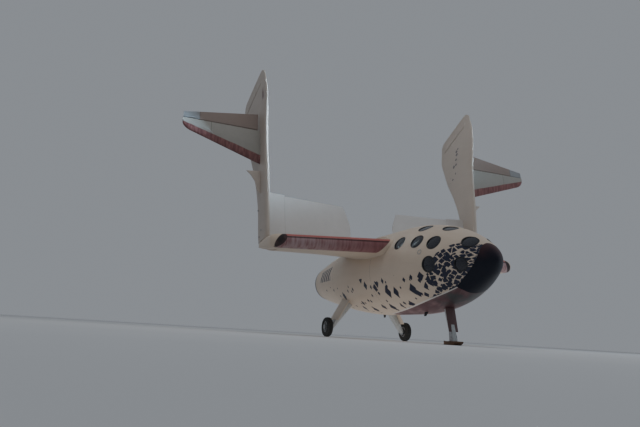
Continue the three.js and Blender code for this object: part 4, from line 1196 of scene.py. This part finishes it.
def buildSkid():
    nose = solidBetween(0.7, 3.0, 40)
    strut = slab(skid["strut"], skid["strutHalf"], 0.009)
    finishPiece("skidStrut", carved(strut, nose.copy()), legPaint, ["nose_skid_strut"])
    door = slab(skid["door"], skid["doorHalf"], 0.003, 2)
    finishPiece("skidDoor", carved(door, nose), creamPaint("skidDoor"))
    finishPiece("skidShoe", slab(skid["shoe"], skid["shoeHalf"], 0.006), shoeFinish(), ["nose_skid_shoe"])
    parts = [slab(skid["fork"], 0.004, 0.002, 2, side * (skid["strutHalf"] + 0.0045)) for side in (-1, 1)]
    pinStation, pinHeight = skid["pin"]
    parts.append(crossRod(shipPoint(pinStation, 0, pinHeight), -0.056, 0.056, 0.013, 24))
    for station, y in skid["bolts"]:
        parts.append(rod(shipPoint(station, y, -1.186), shipPoint(station, y, -1.179), 0.011, 6))
    finishPiece("skidFork", joined(parts), wheelAlloy)


# Cabin: floor, instrument panel and three seats
deck = -0.3997  # height of the floor's top
console = {
    "outline": [(0.96, deck), (0.9, deck), (0.83, 0.02), (0.87, 0.12), (0.93, 0.1)],
    "half": 0.17,
    "screens": [(-0.075, 0.02, 0.062, 0.05), (0.075, 0.02, 0.062, 0.05), (0, -0.12, 0.1, 0.055)],
    "stick": ((1.14, deck), (1.12, -0.16)),  # station and height of its ends
    "grip": [(0, 0), (0.014, 0.002), (0.017, 0.03), (0.014, 0.06), (0.018, 0.1), (0.012, 0.118), (0, 0.12)],
}
seat = {
    "places": {  # station and y
        "pilot_seat": (1.56, 0),
        "passenger_seat_left": (2.48, 0.29),
        "passenger_seat_right": (2.48, -0.29),
    },
    "shell": [(0, 0), (0.3, 0), (0.358, 0.15), (0.37, 0.18), (0.084, 0.164), (-0.1075, 0.744), (-0.15, 0.74),
        (0, 0.18)],  # forward and height, as below
    "half": 0.21,
    "panPad": {"centre": (0.245, 0.197), "size": (0.25, 0.38, 0.05), "lean": 3},
    "backPad": {"centre": (0.005, 0.49), "size": (0.5, 0.37, 0.05), "lean": 108},
    "strap": [(-0.118, 0.735), (-0.085, 0.77), (-0.045, 0.74), (0.045, 0.485), (0.1, 0.3), (0.135, 0.235)],
    "strapWidth": 0.045,
    "buckle": [(0, 0), (0.03, 0), (0.033, 0.004), (0.033, 0.012), (0.027, 0.017), (0, 0.018)],
}
cabinMetal = plainFinish("cabinMetal", "cabin_metal", (0.2, 0.2, 0.21), (0.12, 0.12, 0.13), 0.45, 0.7, 16)


def cushion(size, place):  # crowned, with sides that pull in between the corners and two sewn channels
    bm = bmesh.new()
    bmesh.ops.create_cube(bm, size=2)
    bmesh.ops.subdivide_edges(bm, edges=bm.edges, cuts=23, use_grid_fill=True)
    for vert in bm.verts:
        x, y, z = vert.co
        crown = (1 - abs(x) ** 6) * (1 - abs(y) ** 6)
        channel = sum(exp(-(((y - line) / 0.035) ** 2)) for line in (-0.34, 0.34)) if z > 0 else 0
        vert.co = (
            x * (1 - 0.035 * (1 - y * y) - 0.04 * z * z) * size[0] / 2,
            y * (1 - 0.035 * (1 - x * x) - 0.04 * z * z) * size[1] / 2,
            z * (0.42 + 0.58 * crown - 0.22 * channel) * size[2] / 2,
        )
    bmesh.ops.smooth_vert(bm, verts=bm.verts, factor=0.5, use_axis_x=True, use_axis_y=True, use_axis_z=True)
    bmesh.ops.transform(bm, matrix=place, verts=bm.verts)
    return bm


def strap(points, across):  # flat webbing along points, wide in the direction across
    sections = []
    for i, point in enumerate(points):
        out = runAt(points, i).normalized().cross(across).normalized() * 0.0012
        half = across * seat["strapWidth"] / 2
        sections.append([point - half - out, point + half - out, point + half + out, point - half + out])
    return skin(sections)


def buildSeats():
    cloth = weave("seatCloth", (0.045, 0.05, 0.06), (0.02, 0.022, 0.028))
    shellPaint = plainFinish("seatShell", "seat_fabric", (0.11, 0.11, 0.115), (0.07, 0.07, 0.075), 0.5, 0, 24)
    webbing = weave("harnessWebbing", (0.12, 0.14, 0.2), (0.06, 0.07, 0.11))
    for name, (station, y) in seat["places"].items():
        label = name.replace("_seat", "").title().replace("_", "")

        def spot(forward, height, aside=0.0):
            return shipPoint(station - forward, y + aside, deck + height)

        outline = [(station - forward, deck + height) for forward, height in seat["shell"]]
        finishPiece("seatShell" + label, slab(outline, seat["half"], 0.012, 3, y), shellPaint, [name])
        for part in ("panPad", "backPad"):
            pad = seat[part]
            place = Matrix.Translation(spot(*pad["centre"])) @ Matrix.Rotation(radians(-pad["lean"]), 4, "Y")
            soft = finishPiece(part + label, cushion(pad["size"], place), cloth, sharp=60)
        across = Vector((0, 1, 0))
        straps = [strap([spot(*point, aside) for point in seat["strap"]], across) for aside in (-0.07, 0.07)]
        lap = [spot(0.15, 0.235 - 0.03 * abs(i / 5) ** 3, i / 5 * 0.19) for i in (-5, -3, -1, 1, 3, 5)]
        straps.append(strap(lap, Vector((1, 0, 0))))
        finishPiece("harness" + label, joined(straps), webbing)
        buckle = lathe(seat["buckle"], aim(spot(0.15, 0.234), (0, 0, 1)), 32, closed=False)
        finishPiece("buckle" + label, buckle, cabinMetal)


def buildControls():
    for slot in bpy.data.objects["cabin_floor"].material_slots:  # keeps its shape and gets a better material
        slot.material = cabinMetal.material
    black = plainFinish("consoleBlack", "panel_black", (0.03, 0.03, 0.033), (0.018, 0.018, 0.02), 0.5, 0, 40)
    housing = slab(console["outline"], console["half"], 0.012)
    finishPiece("consoleHousing", housing, black, ["instrument_panel"])
    screens, bezels = [], []
    for y, height, half, tall in console["screens"]:
        station = 0.96 - (height - deck) * 0.06
        low = shipPoint(station + 0.006, y - half, height - tall)
        high = shipPoint(station - 0.002, y + half, height + tall)
        bezels.append(rounded(box(low, high), 0.004))
        low += Vector((-0.0005, 0.008, 0.008))
        high = Vector((low.x + 0.001, high.y - 0.008, high.z - 0.008))
        screens.append(rounded(box(low, high), 0.0003, 1))
    finishPiece("screenBezels", joined(bezels), cabinMetal)
    display = Finish("displayGlass", "panel_black", Roughness=0.1)
    faint = display.colours(display.noise(30, 2), (0.01, 0.02, 0.022), (0.015, 0.03, 0.03))
    display.feed("Base Color", faint)
    finishPiece("screens", joined(screens), display)
    foot, top = [shipPoint(station, 0, height) for station, height in console["stick"]]
    grip = lathe(console["grip"], aim(top - Vector((0, 0, 0.01)), (0.15, 0, 1)), 24, closed=False)
    finishPiece("controlStick", joined([rod(foot, top, 0.009), grip]), black)


# Floor, lights and background
studio = {
    "floorSize": 60,
    "world": {"Color": (0.72, 0.77, 0.84, 1), "Strength": 0.36},
    "lights": [  # name, place, target, size, watts, spread in degrees, colour
        ("windowWall", (5, 13, 6), (-1, 0, 3), 8, 450, 180, (0.7, 0.85, 1)),
        ("portRim", (2, 13, 6.5), (-0.9, -2.5, 4.2), 1.5, 110, 11, (0.5, 0.75, 1)),
        ("floorGlow", (-0.5, 1.2, 0.01), (-0.5, 1.2, 3), 5, 30, 180, (0.95, 0.97, 1)),
        ("overhead", (2, -2, 10), (1, 0, 1), 6, 180, 180, (0.95, 0.97, 1)),
    ],
}


def buildStudio():
    floor = bmesh.new()
    bmesh.ops.create_grid(floor, x_segments=1, y_segments=1, size=studio["floorSize"])
    ground = inScene("floor", meshOf("floor", floor))
    finish = Finish("floorFinish", None, Roughness=0.7)
    finish.feed("Base Color", finish.colours(finish.noise(0.8, 3), (0.72, 0.72, 0.72), (0.76, 0.76, 0.76)))
    ground.data.materials.append(finish.material)
    world = bpy.data.worlds.new("studio")
    world.use_nodes = True
    for label in ("Color", "Strength"):
        world.node_tree.nodes["Background"].inputs[label].default_value = studio["world"][label]
    bpy.context.scene.world = world
    for name, place, target, size, watts, spread, colour in studio["lights"]:
        data = bpy.data.lights.new(name, "AREA")
        data.size, data.energy, data.color, data.spread = size, watts, colour, radians(spread)
        lamp = inScene(name, data)
        lamp.matrix_world = aim(place, Vector(place) - Vector(target))
        lamp.visible_camera = lamp.visible_glossy = False


for stage in (buildCabinShell, buildWindows, buildTankAndTail, buildHullFittings, buildWing, buildBooms,
    buildFlaps, buildTailplanes, buildMotor, buildWheels, buildLegs, buildSkid, buildSeats, buildControls,
    buildStudio):
    stage()
    print(stage.__name__, "done")
